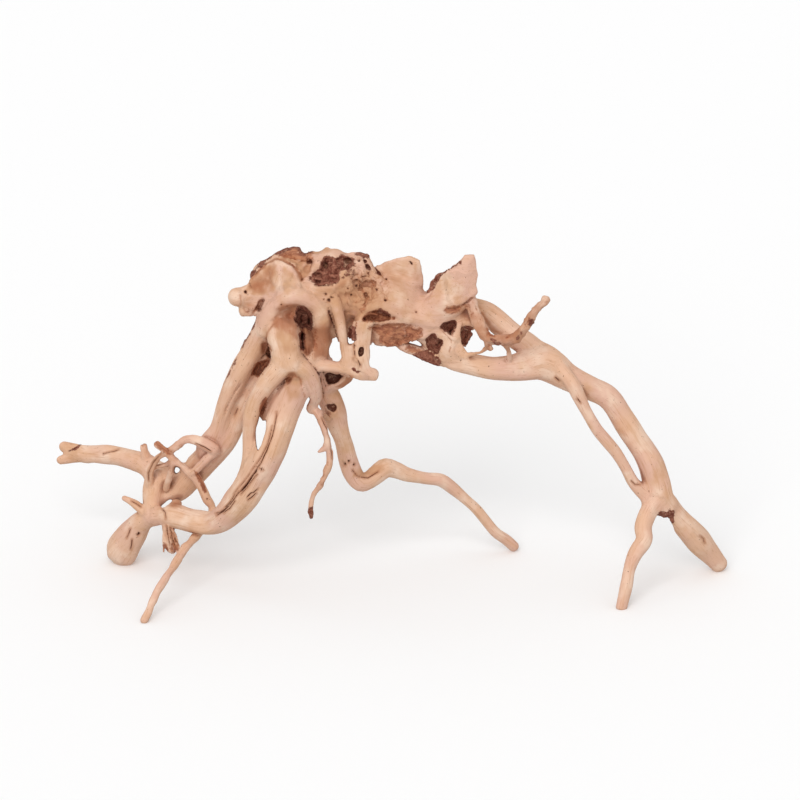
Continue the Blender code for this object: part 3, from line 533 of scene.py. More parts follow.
# Paint only: paint, strength, how softly it ends, then the outline, across and up.
PATCHES = {
    "left strand's edge": ("bark", 0.75, 0.8, [
        (125.6, 152.6), (127.4, 152), (128.6, 149.4), (126, 144.4), (122, 137.5), (117.8, 129.4),
        (113.4, 121.6), (110.6, 116.6), (109.6, 115.4), (114.6, 125), (118.6, 133), (122.4, 141),
        (124.6, 146.5)]),
    "tent's left rim": ("bark", 0.7, 1.0, [
        (121.6, 168.6), (123.8, 172.6), (127, 176.4), (131, 180), (134.6, 182.4), (135.8, 181.2),
        (131.6, 178), (128, 174.4), (125, 170.6), (123.2, 167.8)]),
    "red top": ("fibre", 1.0, 1.2, [
        (134, 181.8), (138, 185), (142, 188), (148, 188), (151, 185.5), (155, 186), (157.5, 183),
        (156.6, 180.6), (150, 180.6), (143, 182), (138, 182.6)]),
    "red top, dark edge": ("bark", 0.85, 0.8, [
        (133.6, 180), (138, 184.8), (142, 187), (146, 188.4), (149.6, 187.6), (152, 184.4),
        (155, 186.8), (158, 188), (157, 185.4), (153.6, 182.4), (150.4, 183.4), (148, 185.8),
        (143.6, 185.4), (139, 182.8)]),
    "pale crest": ("tan", 0.8, 1.2, [(157, 184), (160, 187.6), (163.4, 187), (166, 184.6), (160, 183)]),
    "flake on top": ("bark", 1.0, 0.7, [
        (176.4, 183.6), (179.6, 185.6), (183, 185.4), (185.2, 183.6), (184, 181.8), (180.4, 182.4)]),
    "eye's right margin": ("bark", 0.5, 1.2, [
        (170.8, 173), (176, 177.5), (178.6, 175.6), (175, 172.3), (171.6, 170.6)]),
    "worm-eaten": ("tan", 0.5, 3, [
        (158, 166), (168, 165.5), (173, 172), (179, 178), (180, 184), (186, 180), (192, 171),
        (196, 167), (197, 158), (193, 156), (186, 158.5), (180, 154), (176, 149.5), (172, 152),
        (171, 160), (165, 163)]),
    "behind the right strut": ("bark", 1.0, 1.0, [
        (174.3, 147), (178, 147.4), (177.8, 141.4), (174.4, 141.2)]),
    "bowl's shell": ("brown_and_shade", 1.0, 0.7, [
        (165.8, 117), (169.6, 118.8), (173, 121.6), (175.8, 124.2), (177, 122.6), (174.6, 118.6),
        (169.4, 116.4)]),
    "slit's dark side": ("bark", 1.0, 0.7, [
        (188.4, 155.6), (189.6, 156.9), (191.4, 156.6), (193.6, 155), (197, 152.6), (193.2, 152.9),
        (190, 154.2)]),
    "low brown branch's end": ("bark", 1.0, 0.8, [
        (206.4, 134), (210, 135.2), (214, 135.4), (218, 133.4), (221, 130.6), (220.4, 128.6),
        (216, 128.2), (211, 130)]),
    # Painted shade on the column's left side, in fibre colour.
    "column's left side": ("fibre", 0.55, 1.6, [
        (155.4, 147), (158.4, 147.6), (159, 142), (158.6, 136), (157, 132), (154, 132), (156, 138)]),
    "right fin's bark": ("bark", 0.9, 0.9, [
        (213, 164.5), (216, 170.6), (219.8, 174.6), (224, 176.2), (226.5, 178.6), (230, 180.2),
        (231.6, 181.6), (230.6, 178.6), (228, 177.3), (223, 174.6), (219, 170.9), (216.6, 165.8)]),
    "fin plate, red": ("fibre", 0.9, 1.2, [
        (222.4, 156.6), (224.6, 157.8), (229, 158), (229.4, 156.2), (227, 154.2), (224, 154.4)]),
    "low brown branch": ("fibre", 0.8, 1.2, [
        (201.5, 137.4), (204.5, 138.8), (209, 137), (214, 135.2), (213, 132.8), (207, 134.2),
        (202.6, 135.6)]),
    "knee scar": ("tan", 0.9, 1.8, [
        (176.5, 73), (182, 78), (189, 79), (192.5, 76.5), (188, 73.5), (182, 73)]),
    "crotch": ("bark", 0.9, 0.7, [
        (327.8, 53.6), (330.6, 55.2), (333.6, 55.8), (337, 55.8), (337.2, 52), (336, 49.6),
        (331.6, 51.6)]),
    # Painted shade on the branch's lower side.
    "right upper branch": ("brown_and_shade", 0.75, 2.2, [
        (239.4, 156), (243.5, 152), (248, 147.5), (256, 143.4), (250, 143), (244.5, 146)]),
    "strand, tan": ("tan", 0.8, 3, [
        (139, 149), (147.5, 149), (149, 144), (149, 137), (147, 134), (142, 134), (139, 139),
        (138, 144)]),
    "strand's shaded top": ("brown_and_shade", 1.0, 2.2, [
        (137, 147.6), (137.6, 153), (141.4, 158), (149, 158.4), (150.2, 149), (149.8, 140),
        (146.8, 140.6), (143.4, 145)]),
    "column, shaded": ("brown_and_shade", 0.9, 2.4, [
        (156.8, 147.4), (160, 148.4), (165.2, 147.4), (166.2, 142), (164.4, 137), (164, 132),
        (160, 131.2), (156.4, 131.6)]),
    "knot's lower lobe": ("brown_and_shade", 0.6, 2, [
        (121, 158), (123, 160.5), (128, 160), (128.5, 155), (126, 152), (121.6, 153.6)]),
    "underside, lower": ("fibre", 0.9, 1.0, [
        (191, 141.4), (193, 137.6), (200, 137.6), (207, 140), (211, 143), (205, 143), (198, 141.6)]),
    "tent's left face": ("tan", 0.9, 1.6, [
        (123.5, 166), (125.5, 171), (129.5, 175.4), (134, 178.2), (138.6, 178.8), (139.4, 175),
        (139.2, 169.6), (138, 164.4), (133, 163), (127, 162.6)]),
    "tent's left face, shaded": ("brown_and_shade", 0.5, 1.6, [
        (124.5, 166), (127, 171.4), (131, 175.6), (135.4, 177.8), (137.6, 176), (137, 170),
        (134.4, 165.6), (129, 163.4)]),
    "tent, right of the ridge": ("tan", 0.75, 1.5, [
        (141.2, 178), (144.6, 176.4), (147.8, 172.4), (148.8, 167.4), (146.4, 163.4), (141.6, 164),
        (141, 170)]),
    "left fin": ("tan", 0.7, 2, [
        (189, 170), (190, 177), (196, 180.6), (204, 181.2), (209, 179), (210.6, 172), (208, 169.4),
        (198, 168.6)]),
    "brown flush on the trunk": ("fibre", 0.55, 1.2, [
        (180.4, 167), (182.4, 165), (184.8, 161.6), (184.2, 158), (181.6, 154.4), (180, 155.4),
        (182, 159.6)]),
    # Painted shade under the right fin.
    "under the right fin": ("brown_and_shade", 0.6, 1.8, [
        (229.5, 157), (233, 159.4), (237, 162), (239.5, 156), (239, 152), (232, 150.6), (229.5, 152.5)]),
    "gnarled twig, bend": ("bark", 0.8, 0.8, [
        (258, 141), (260.6, 142.2), (262, 144.6), (260.4, 144.8), (258.2, 143)]),
    "gnarled twig, flank": ("bark", 0.9, 0.7, [
        (264.4, 147.4), (266.2, 150), (267.2, 152.6), (265.4, 151.6), (263.8, 149)]),
    "gnarled twig, underside": ("bark", 0.75, 0.9, [
        (244.4, 142.6), (247.6, 141), (251, 139.6), (249, 138), (245.4, 139.4)]),
    "eye rim": ("brown_and_shade", 0.45, 2.2, [
        (154, 169), (158, 166.4), (166, 165), (173, 168), (176, 173), (172, 171), (166, 167.6),
        (158, 168.6)]),
    "red end of the slit": ("fibre", 0.95, 1.0, [
        (180.6, 150.4), (183.4, 153), (186.6, 154.8), (190.4, 153.6), (192.6, 151.4), (189.6, 150.2),
        (185, 149.4)]),
    # Painted shade on the leg's top under the fork, in tan.
    "leg under the fork": ("tan", 0.9, 2.6, [
        (142.4, 121), (146, 125), (149.6, 123), (151, 117), (149, 110), (144, 110), (142, 116)]),
    "forked root, brown": ("brown_and_shade", 0.6, 2, [(84, 60), (89.5, 61.5), (90.5, 57), (84.5, 56.5)]),
    "hanging twig's tip": ("bark", 0.8, 1.2, [(153.8, 56), (157, 57.2), (157.4, 51), (153.8, 51)]),
    "twig tip's dark end": ("fibre", 1.0, 1.0, [
        (76.5, 90.5), (79.6, 90), (84.4, 85.4), (83, 83.6), (77.4, 87.6)]),
    "nub's end": ("brown_and_shade", 1.0, 0.8, [(69.6, 90), (73.4, 90), (73, 87.6), (70.2, 87.4)]),
}

# Slivers bridge the hollows where the front was before they were cut: radius, lift, then the line.
SLIVERS = {
    "splinter over the slit": (0.4, -0.2, [(181.4, 155.4), (185, 156), (189, 157.6)]),
    "second splinter over the slit": (0.35, -0.6, [(181.6, 153.4), (185.6, 154.2), (188.6, 153.6)]),
    "eye, low": (0.6, -1.4, [(156.4, 172.4), (160.6, 171), (165, 172.6), (169.4, 172.4)]),
    "eye, across": (0.6, -1.8, [(159.2, 175), (163, 174.2), (167.4, 175.8), (170, 178)]),
    "eye, between the pits": (0.9, -1.0, [(167, 182.6), (167.6, 179), (167, 175.4)]),
}

# Splinters of the frayed stub: how many, then where they start and end, left and right: across, up, away.
SPLINTERS = 14
SPLINTER_START = ((81.6, 47, 58.5), (86, 46.5, 57.5))
SPLINTER_END = ((82.4, 36.4, 57), (90, 35.6, 55.5))

# Regions of paint are soft ellipsoids: across, up, away, half sizes along X, Z and Y, lean, strength.
REGIONS = {
    "bark": {
        "behind the knot": (121, 170, 52, 5, 4, 8, 30, 0.7),
        "lump, low": (216, 139.5, 55, 7, 6.5, 6, 0, 1.2),
        "lump, upper": (222, 146, 56, 6, 6, 6, 0, 1.1),
        "lump, right": (234, 142.5, 54, 6, 7, 7, 20, 1.2),
        "under the low branch": (215.5, 130, 49, 7, 3, 6, -10, 1.0),
        "back of the right fin": (222, 171, 49, 9, 11, 4, 45, 1.0),
        "rear of the trunk, left": (150, 172, 68, 14, 7, 6, 0, 0.9),
        "rear of the trunk, right": (196, 158, 66, 16, 6, 5, 0, 0.9),
    },
    "fibre": {
        "under the trunk": (172, 136, 60, 26, 7, 9, 0, 0.8),
        "top, rear": (146, 184, 62, 12, 6, 9, 0, 0.9),
        "frayed stub, end": (85.4, 38, 59, 6, 6, 8, 0, 1.0),
    },
    # Here the brown paint is the twigs' own colour.
    "brown_and_shade": {
        "gnarled twig": (250, 148, 33, 26, 22, 12, 0, 1.1),
        "gnarled twig, tip": (267, 155, 28.5, 12, 13, 10, 0, 1.1),
        "twigs by the arm": (88, 82, 62, 20, 12, 5, 0, 0.55),
        "hanging twig": (161, 82, 42, 7, 34, 5, 0, 0.7),
        "twig tip": (94, 40, 46, 7, 7, 9, 0, 0.3),
        "frayed stub": (85, 45, 59, 6, 6, 8, 0, 0.6),
    },
    "tan": {
        "trunk": (172, 163, 48, 46, 28, 30, -5, 0.9),
        "middle leg, top": (168, 110, 55, 9, 12, 9, 0, 0.6),
    },
    # Dark paint has no regions. It comes with pits and grooves only, where it is painted shade.
    "dark": {},
}

# Each crack: half its width, its depth, then points across and up.
CRACKS = {
    "leg, main": (0.4, 1.2, [
        (138.2, 105), (138, 101), (137.2, 96.5), (136.4, 93), (135, 89.8), (133.2, 85), (130.8, 80),
        (128.2, 75.6), (125.8, 72), (123, 68.4), (119.6, 64.8), (117, 61.8)]),
    "leg, main, widest": (0.75, 2.0, [(128.6, 76.2), (125.8, 72.2), (123, 68.6), (119.8, 65)]),
    "leg, beside the main": (0.24, 0.7, [
        (136.2, 98), (135.2, 93.4), (133.6, 88.6), (131, 83.4), (128.4, 79), (126, 75.6)]),
    "leg, left line": (0.26, 0.7, [(125.6, 74.8), (122.6, 71), (119.6, 67.4), (116.8, 64)]),
    "leg, right line": (0.22, 0.6, [(128.6, 73.8), (126, 70.4), (123, 66.6), (120.4, 64)]),
    "leg, frayed, first": (0.36, 0.9, [(119.4, 65.4), (117.2, 61.8), (114.4, 58.4)]),
    "leg, frayed, second": (0.28, 0.7, [(117.4, 64), (115.2, 60.6), (112.6, 57.4)]),
    "leg, frayed, third": (0.36, 0.8, [(114.4, 58.4), (111.6, 55.4), (108.4, 53.4)]),
    "leg, frayed, fourth": (0.26, 0.6, [(117.6, 60.6), (115, 57.2), (112, 54.8)]),
    "leg, frayed, fifth": (0.24, 0.5, [(112.6, 56.8), (110.2, 54.9), (107.8, 54.4)]),
    "leg, scar": (0.42, 0.8, [(123.8, 62.4), (125.6, 64.2), (127.4, 64.6), (129, 66.2)]),
    "leg, scar's second line": (0.32, 0.6, [(124.2, 61), (126.4, 62.4), (128.6, 64.2)]),
    "leg, step in the crack": (0.3, 0.5, [(128.2, 77.6), (130, 76.8), (132, 76.2)]),
    "hook plate, dashes": (0.3, 0.8, [(176.8, 138.8), (177, 136.6)]),
    "hook plate, more dashes": (0.3, 0.8, [(177.2, 135.6), (177.3, 133.2)]),
    "hook plate, last dashes": (0.35, 0.8, [(176.6, 131.6), (177.6, 130.4)]),
    "club, brown line": (0.3, 0.3, [(64.6, 46.4), (63.8, 43.6), (63, 41.6)]),
    "club, second line": (0.35, 0.3, [(65.6, 41), (65.2, 38.6), (64.8, 36)]),
    "arm, line": (0.28, 0.5, [(51, 83.8), (53.6, 84.6), (56.4, 85.4), (58.8, 86)]),
    "stub by the club": (0.4, 0.8, [(65.4, 60.2), (67.6, 59), (70, 57.2)]),
    "joint at the club": (0.3, 0.6, [(80.8, 56.4), (82.2, 54.6), (82.8, 51.4)]),
    "stub, dark line": (0.35, 1.0, [(83, 48), (83.6, 43), (84.6, 38.4)]),
    "stub, second line": (0.35, 1.0, [(84.8, 46.5), (85.8, 41.6), (87.4, 37.4)]),
    "stub, third line": (0.3, 0.9, [(86.4, 44), (87.6, 40.6), (89.2, 38.2)]),
    "rear strand, mark": (0.3, 0.5, [(118.6, 106.5), (117.4, 103.6)]),
    "right leg, dash": (0.5, 0.6, [(249, 132.8), (251.6, 132.4)]),
    "hook plate, lower": (0.45, 1.0, [(178, 131.5), (179.8, 129), (180.5, 127.8)]),
    "right leg, upper scar": (0.4, 0.5, [(277.5, 122.5), (279.5, 120.8)]),
    "thin branch scar": (0.4, 0.6, [(288.5, 111.5), (290, 109.5)]),
    "thin branch ring": (0.35, 0.6, [(315.5, 70.5), (317.5, 68.5), (320, 68.5)]),
    "right foot, knot": (0.22, 0.4, [(350, 43), (352, 41.5), (352.5, 39.5)]),
    "knee, grain": (0.3, 0.6, [(176, 76), (179, 72.5), (184, 72), (189, 75)]),
    "double loop": (0.35, 0.9, [(80, 84), (76, 79.5), (74, 74.5), (74, 70.5)]),
    "hanging twig": (0.35, 0.8, [(161, 102), (164, 96), (166, 88), (166, 82)]),
    "under the arched twig": (0.5, 1.0, [(98, 89), (102, 87.5), (105.5, 85.5)]),
}

# Small round holes: across, up, half width, depth.
HOLES = [
    (172, 78.5, 0.8, 1.4), (68.9, 43.3, 0.9, 1.4), (174.5, 80, 0.6, 1.2), (177, 78.5, 0.6, 1.2),
    (163, 163.5, 0.6, 1.2), (164.5, 160.5, 0.8, 1.4), (165.8, 162, 0.5, 1.2), (162, 161, 0.4, 1.0),
    (141, 158.5, 0.4, 0.8), (144, 157.5, 0.35, 0.8), (179.5, 181, 0.9, 1.6), (178.5, 168, 0.6, 1.2),
    (176, 163, 0.5, 1.2), (193, 171, 0.5, 1.0), (237, 120, 0.4, 0.6), (208, 155, 0.5, 0.8),
    (188.1, 166, 0.6, 1.2), (193.1, 161, 0.8, 1.4), (174.2, 166.4, 0.5, 1.0), (103.5, 61.5, 0.4, 0.6),
]

# The rough, worm-holed part of the trunk, as a region.
WORMY = (184, 168, 42, 15, 11, 12, -20, 1.0)
# Where the trunk is eaten away unevenly, and where it stays smooth all the same.
ERODED = (166, 168, 52, 32, 24, 24, -5, 1.0)
SMOOTH = (141, 162, 34, 19, 17, 13, 0, 1.0)
# The line that the grain follows along the trunk.
TRUNK_GRAIN = [
    (128, 168, 48, 14), (150, 166, 49, 15), (180, 162, 49, 15), (212, 154, 49, 10), (236, 156, 48, 6),
]

# The wood's colours, from 0 to 255.
PALE = (232, 200, 177)
PEACH = (222, 180, 150)
TAN = (200, 151, 114)
PINK = (219, 176, 155)
YELLOW = (207, 161, 122)
# Tan of worn wood, also painted shade on the leg under the fork.
WORN_AND_SHADED_TAN = (190, 141, 106)
WORN_AND_SHADED_YELLOW = (200, 152, 114)
STREAK = (166, 110, 78)
# The twigs' own brown, also painted shade under parts and in recesses.
TWIG_BROWN_AND_SHADE = (172, 112, 80)
# Painted shade in hollows, where wood closes in over the surface.
SHADE_BROWN = (140, 76, 50)
FIBRE_RED = (132, 70, 48)
FIBRE_ORANGE = (182, 120, 86)
BARK_BROWN = (114, 62, 48)
BARK_MIDDLE = (158, 104, 84)
BARK_LIGHT = (190, 140, 116)
# Painted shade deepest in hollows, and the dark paint of pits and grooves.
DEEP_SHADE_BROWN = (88, 38, 27)
CRACK_BROWN = (84, 44, 30)


def stand(points):
    """Drawn points (across, up, away), turned upright, in millimetres."""
    points = np.asarray(points, float)
    across, up, away = points[..., 0], points[..., 1], points[..., 2]
    height = (up - away * math.sin(VIEW_ANGLE)) / math.cos(VIEW_ANGLE)
    return np.stack([across - MIDDLE_ACROSS, away - MIDDLE_AWAY, height], axis=-1)


def drawn(points):
    """Upright points back on the drawing: across, up, away."""
    away = points[:, 1] + MIDDLE_AWAY
    up = points[:, 2] * math.cos(VIEW_ANGLE) + away * math.sin(VIEW_ANGLE)
    return np.stack([points[:, 0] + MIDDLE_ACROSS, up, away], axis=1)


def smooth_step(low, high, value):
    """0 below low, 1 above high, and a smooth rise between."""
    share = np.clip((value - low) / (high - low), 0, 1)
    return share * share * (3 - 2 * share)


def corner_weights(part):
    """The corners of a cell, each with how much it counts at places in the cell."""
    for corner in np.ndindex(2, 2, 2):
        weight = 1
        for axis in range(3):
            weight = weight * (part[..., axis] if corner[axis] else 1 - part[..., axis])
        yield corner, weight


class Noise:
    """Smooth noise from -1 to 1 on a seeded lattice that repeats every 32 steps."""

    size = 32

    def __init__(self, seed):
        self.lattice = np.random.default_rng(seed).uniform(-1, 1, (self.size,) * 3).astype(np.float32)

    def __call__(self, points):
        cell = np.floor(points).astype(np.int32)
        part = (points - cell).astype(np.float32)
        part = part * part * (3 - 2 * part)
        total = 0
        for corner, weight in corner_weights(part):
            index = tuple((cell[..., axis] + corner[axis]) % self.size for axis in range(3))
            total = total + weight * self.lattice[index]
        return total

    def layers(self, points, octaves):
        """Several noises, each twice as fine and half as strong."""
        total = 0
        for octave in range(octaves):
            total = total + self(points * 2**octave + 7.3 * octave) / 2**octave
        return total


def between(before, start, end, after, steps):
    """A smooth curve from start towards end, in a few steps, that leaves end out."""
    share = np.arange(steps)[:, None] / steps
    return (
        start
        + 0.5 * share * (end - before)
        + share**2 * (before - 2.5 * start + 2 * end - 0.5 * after)
        + share**3 * (-0.5 * before + 1.5 * start - 1.5 * end + 0.5 * after)
    )


def length_along(path):
    """How far along a path each of its points lies."""
    steps = np.linalg.norm(np.diff(path[:, :3], axis=0), axis=1)
    return np.concatenate([[0], np.cumsum(steps)])


def rounded(outline):
    """A closed outline as a smooth curve through its corners."""
    corners = np.asarray(outline, float)
    turns = zip(np.roll(corners, 1, 0), corners, np.roll(corners, -1, 0), np.roll(corners, -2, 0))
    return np.vstack([between(*turn, 3) for turn in turns])


# One noise for the rims of hollows and of their paint, so that both stray alike.
RIM_NOISE = Noise(14)


def smooth_path(points, step):
    """A smooth line through points with their radii, resampled every few millimetres."""
    points = np.asarray(points, float)
    places = np.column_stack([stand(points[:, :3]), points[:, 3]])
    ends = np.vstack([2 * places[0] - places[1], places, 2 * places[-1] - places[-2]])
    dense = [between(*turn, 8) for turn in zip(ends, ends[1:], ends[2:], ends[3:])]
    dense = np.vstack([*dense, places[-1:]])
    along = length_along(dense)
    stops = np.linspace(0, along[-1], max(2, int(along[-1] / step) + 1))
    return np.column_stack([np.interp(stops, along, dense[:, axis]) for axis in range(4)])


class Field:
    """Signed distances in millimetres on a grid round the root. Below zero is wood."""

    def __init__(self, low, high):
        self.low = low
        self.shape = np.ceil((high - low) / CELL).astype(int) + 1
        self.values = np.full(self.shape, FAR, np.float32)

    def block(self, low, high):
        """The part of the grid between two corners, and the places of its points."""
        first = np.clip(np.floor((low - self.low) / CELL).astype(int), 0, self.shape - 1)
        last = np.clip(np.ceil((high - self.low) / CELL).astype(int) + 1, 1, self.shape)
        where = tuple(slice(a, b) for a, b in zip(first, last))
        axes = [(self.low[i] + CELL * np.arange(first[i], last[i])).astype(np.float32) for i in range(3)]
        return where, np.meshgrid(*axes, indexing="ij", sparse=True)

    def add(self, where, distance, blend):
        """Join a shape to the wood with a soft fillet."""
        old = self.values[where]
        share = np.clip(0.5 + 0.5 * (old - distance) / blend, 0, 1)
        self.values[where] = old + share * (distance - old) - blend * share * (1 - share)

    def carve(self, where, distance, blend):
        """Take a shape out of the wood, with a soft rim."""
        old = self.values[where]
        share = np.clip(0.5 - 0.5 * (old + distance) / blend, 0, 1)
        self.values[where] = old + share * (-distance - old) + blend * share * (1 - share)

    def at(self, points):
        """The field between its grid points."""
        place = np.clip((points - self.low) / CELL, 0, self.shape - 1.001)
        cell = place.astype(int)
        part = place - cell
        total = 0
        for corner, weight in corner_weights(part):
            total = total + weight * self.values[tuple((cell + corner).T)]
        return total


# Unevenness of limbs: how strong it is, as a share of the radius or in millimetres, and over what length.
LIMB_SWELLING = (0.05, 9)
TWIG_SWELLING = (0.16, 3.5)
TWIG_STRAYING = (0.35, 5)
THINNEST = 0.6


def unevened(path, wobble):
    """The path with a radius that swells and shrinks on its way. A thin one strays a little too."""
    strength, length = LIMB_SWELLING
    swelling = strength * wobble(path[:, :3] / length)
    if path[:, 3].max() < TWIG_RADIUS:
        strength, length = TWIG_SWELLING
        swelling += strength * wobble(path[:, :3] / length)
        strength, length = TWIG_STRAYING
        strays = [wobble(path[:, :3] / length + shift) for shift in (3, 9, 15)]
        path[:, :3] += strength * np.column_stack(strays)
    path[:, 3] = np.maximum(path[:, 3] * (1 + swelling) + LIMB_TRIM, THINNEST)
    return path


def rod_distance(x, y, z, start, end):
    """Distances to a tapered rod between two points with their radii."""
    line = (end[:3] - start[:3]).astype(np.float32)
    x, y, z = x - np.float32(start[0]), y - np.float32(start[1]), z - np.float32(start[2])
    share = np.clip((x * line[0] + y * line[1] + z * line[2]) / (line @ line), 0, 1)
    distance = np.sqrt((x - share * line[0]) ** 2 + (y - share * line[1]) ** 2 + (z - share * line[2]) ** 2)
    distance -= np.float32(start[3]) + share * np.float32(end[3] - start[3])
    return distance


def grow_limb(field, points, blend, wobble):
    """One limb: a chain of tapered rods along a smooth path."""
    path = unevened(smooth_path(points, PATH_STEP), wobble)
    widest = path[:, 3].max() + REACH
    where, _ = field.block(path[:, :3].min(0) - widest, path[:, :3].max(0) + widest)
    corner = np.array([part.start for part in where])
    local = np.full([part.stop - part.start for part in where], FAR, np.float32)
    for start, end in zip(path, path[1:]):
        margin = max(start[3], end[3]) + REACH
        low = np.minimum(start[:3], end[:3]) - margin
        high = np.maximum(start[:3], end[:3]) + margin
        inner, places = field.block(low, high)
        part = tuple(slice(a.start - c, a.stop - c) for a, c in zip(inner, corner))
        local[part] = np.minimum(local[part], rod_distance(*places, start, end))
    field.add(where, local, blend)


def ellipsoid(field, across, up, away, wide, high, deep, lean):
    """The block round an ellipsoid, and the distances to it there."""
    centre = stand((across, up, away))
    size = np.array([wide, deep, high])
    where, (x, y, z) = field.block(centre - size.max() - REACH, centre + size.max() + REACH)
    x, y, z = x - np.float32(centre[0]), y - np.float32(centre[1]), z - np.float32(centre[2])
    turn = math.radians(lean)
    along, rise = x * math.cos(turn) + z * math.sin(turn), z * math.cos(turn) - x * math.sin(turn)
    scaled = np.sqrt((along / wide) ** 2 + (y / deep) ** 2 + (rise / high) ** 2)
    steep = np.sqrt((along / wide**2) ** 2 + (y / deep**2) ** 2 + (rise / high**2) ** 2)
    return where, (scaled * (scaled - 1) / np.maximum(steep, 1e-4)).astype(np.float32)


def outline_distance(x, z, corners):
    """Signed distance in a plane to a closed outline. Below zero is inside."""
    nearest = np.full(np.broadcast(x, z).shape, 1e9)
    inside = np.zeros(nearest.shape, bool)
    for start, end in zip(corners, np.roll(corners, -1, axis=0)):
        line = end - start
        share = np.clip(((x - start[0]) * line[0] + (z - start[1]) * line[1]) / (line @ line), 0, 1)
        squared = (x - start[0] - share * line[0]) ** 2 + (z - start[1] - share * line[1]) ** 2
        nearest = np.minimum(nearest, squared)
        crosses = (start[1] > z) != (end[1] > z)
        inside ^= crosses & (x < start[0] + (z - start[1]) * line[0] / (line[1] if line[1] else 1e-9))
    return np.where(inside, -1, 1) * np.sqrt(nearest)


# A fin: its warp and over what length, half its thickness at its edge and in its middle as shares of the
# whole, over what distance it thickens, and how far its edges are rounded.
FIN_WARP = (1.2, 11)
FIN_EDGE = 0.14
FIN_MIDDLE = 0.5
FIN_TAPER = 14
FIN_ROUNDING = 0.3


def grow_fin(field, away, thickness, outline, wobble):
    """A thin plate that faces the viewer, thinner at its edge and a little warped."""
    corners = stand([(across, up, away) for across, up in outline])
    low, high = corners.min(0) - thickness - REACH, corners.max(0) + thickness + REACH
    where, (x, y, z) = field.block(low, high)
    edge = outline_distance(x[:, 0, :], z[:, 0, :], corners[:, [0, 2]])[:, None, :]
    flat = np.stack(np.broadcast_arrays(x, 0 * x, z), axis=-1)
    strength, length = FIN_WARP
    warp = strength * wobble(flat / length)
    half = thickness * np.clip(FIN_EDGE - edge / FIN_TAPER, FIN_EDGE, FIN_MIDDLE)
    beside = np.abs(y - corners[0, 1] - warp) - half
    outside = np.sqrt(np.maximum(edge, 0) ** 2 + np.maximum(beside, 0) ** 2)
    distance = outside + np.minimum(np.maximum(edge, beside), 0) - FIN_ROUNDING
    field.add(where, distance.astype(np.float32), FIN_BLEND)


def region_share(points, across, up, away, wide, high, deep, lean, strength):
    """How far points are inside a soft ellipsoid: its strength in the middle, 0 on its rim, less outside."""
    place = points - stand((across, up, away))
    turn = math.radians(lean)
    along = place[..., 0] * math.cos(turn) + place[..., 2] * math.sin(turn)
    rise = place[..., 2] * math.cos(turn) - place[..., 0] * math.sin(turn)
    scaled = np.sqrt((along / wide) ** 2 + (place[..., 1] / deep) ** 2 + (rise / high) ** 2)
    return strength * (1 - scaled)


def inside(points, region, soft):
    """0 outside a region and 1 well inside it, with a soft rim."""
    return smooth_step(0, soft, region_share(points, *region))


# The block that the trunk's erosion is worked out in, and how far from the skin, in millimetres.
TRUNK_LOW = (114, 128, 28)
TRUNK_HIGH = (246, 190, 72)
TRUNK_SKIN = 4

# The sizes of what the erosion leaves, along X, Y and Z in millimetres.
CHANNEL_SIZE = (13, 5.5, 5.5)
FURROW_SIZE = (12, 4.5, 4.5)
HUMP_SIZE = 7
WORM_HOLE_SIZE = 2.6


def erode_trunk(field):
    """Old wood is eaten away in channels along the trunk, and in humps and holes where worms were."""
    where, axes = field.block(stand(TRUNK_LOW) - 2, stand(TRUNK_HIGH) + 8)
    near = np.abs(field.values[where]) < TRUNK_SKIN
    points = np.column_stack([np.broadcast_to(axis, near.shape)[near] for axis in axes])
    share = inside(points, ERODED, 0.35) * (1 - inside(points, SMOOTH, 0.3))
    wormy = inside(points, WORMY, 0.5)
    channels = Noise(11).layers(points / CHANNEL_SIZE, 3)
    furrows = 1 - smooth_step(0, 0.22, np.abs(Noise(16).layers(points / FURROW_SIZE, 2)))
    humps = Noise(12).layers(points / HUMP_SIZE, 2)
    holes = smooth_step(0.25, 0.8, Noise(13)(points / WORM_HOLE_SIZE))
    values = field.values[where]
    values[near] += share * (0.9 * channels + 0.5 * humps + 0.45 * furrows)
    values[near] += wormy * (0.9 * humps + 1.2 * holes + 0.2 * furrows)
    field.values[where] = values


class Front:
    """How far away the wood begins behind each place of the drawing."""

    def __init__(self, field):
        rise = CELL * math.cos(VIEW_ANGLE)
        away = field.low[1] + MIDDLE_AWAY + CELL * np.arange(field.shape[1])
        lowest = field.low[2] * math.cos(VIEW_ANGLE) + away * math.sin(VIEW_ANGLE)
        self.corner = np.array([field.low[0] + MIDDLE_ACROSS, lowest[0]])
        self.steps = np.array([CELL, rise])
        shifts = np.round((lowest - lowest[0]) / rise).astype(int)
        self.map = np.full((field.shape[0], field.shape[2] + shifts[-1]), np.nan)
        before = np.full(self.map.shape, FAR)
        for slab, shift in enumerate(shifts):
            view = (slice(None), slice(shift, shift + field.shape[2]))
            now = field.values[:, slab, :]
            first = (now < 0) & np.isnan(self.map[view])
            back = now[first] / (now[first] - np.maximum(before[view][first], 0.01))
            self.map[view][first] = away[slab] - CELL * back
            before[view] = now

    def at(self, across, up):
        """The wood's front there, or NaN off the outline."""
        place = [(across - self.corner[0]) / self.steps[0], (up - self.corner[1]) / self.steps[1]]
        cell = [np.clip(np.floor(p).astype(int), 0, n - 2) for p, n in zip(place, self.map.shape)]
        part = [np.clip(p - c, 0, 1) for p, c in zip(place, cell)]
        total, weights = 0, 0
        for i, j in np.ndindex(2, 2):
            value = self.map[cell[0] + i, cell[1] + j]
            weight = (part[0] if i else 1 - part[0]) * (part[1] if j else 1 - part[1])
            weight = np.where(np.isnan(value), 0, weight)
            total = total + weight * np.nan_to_num(value)
            weights = weights + weight
        return np.where(weights > 0.01, total / np.maximum(weights, 0.01), np.nan)

    def behind(self, view):
        """How far drawn points are behind the front, or 0 off the outline."""
        return np.nan_to_num(view[:, 2] - self.at(view[:, 0], view[:, 1]), nan=0.0)


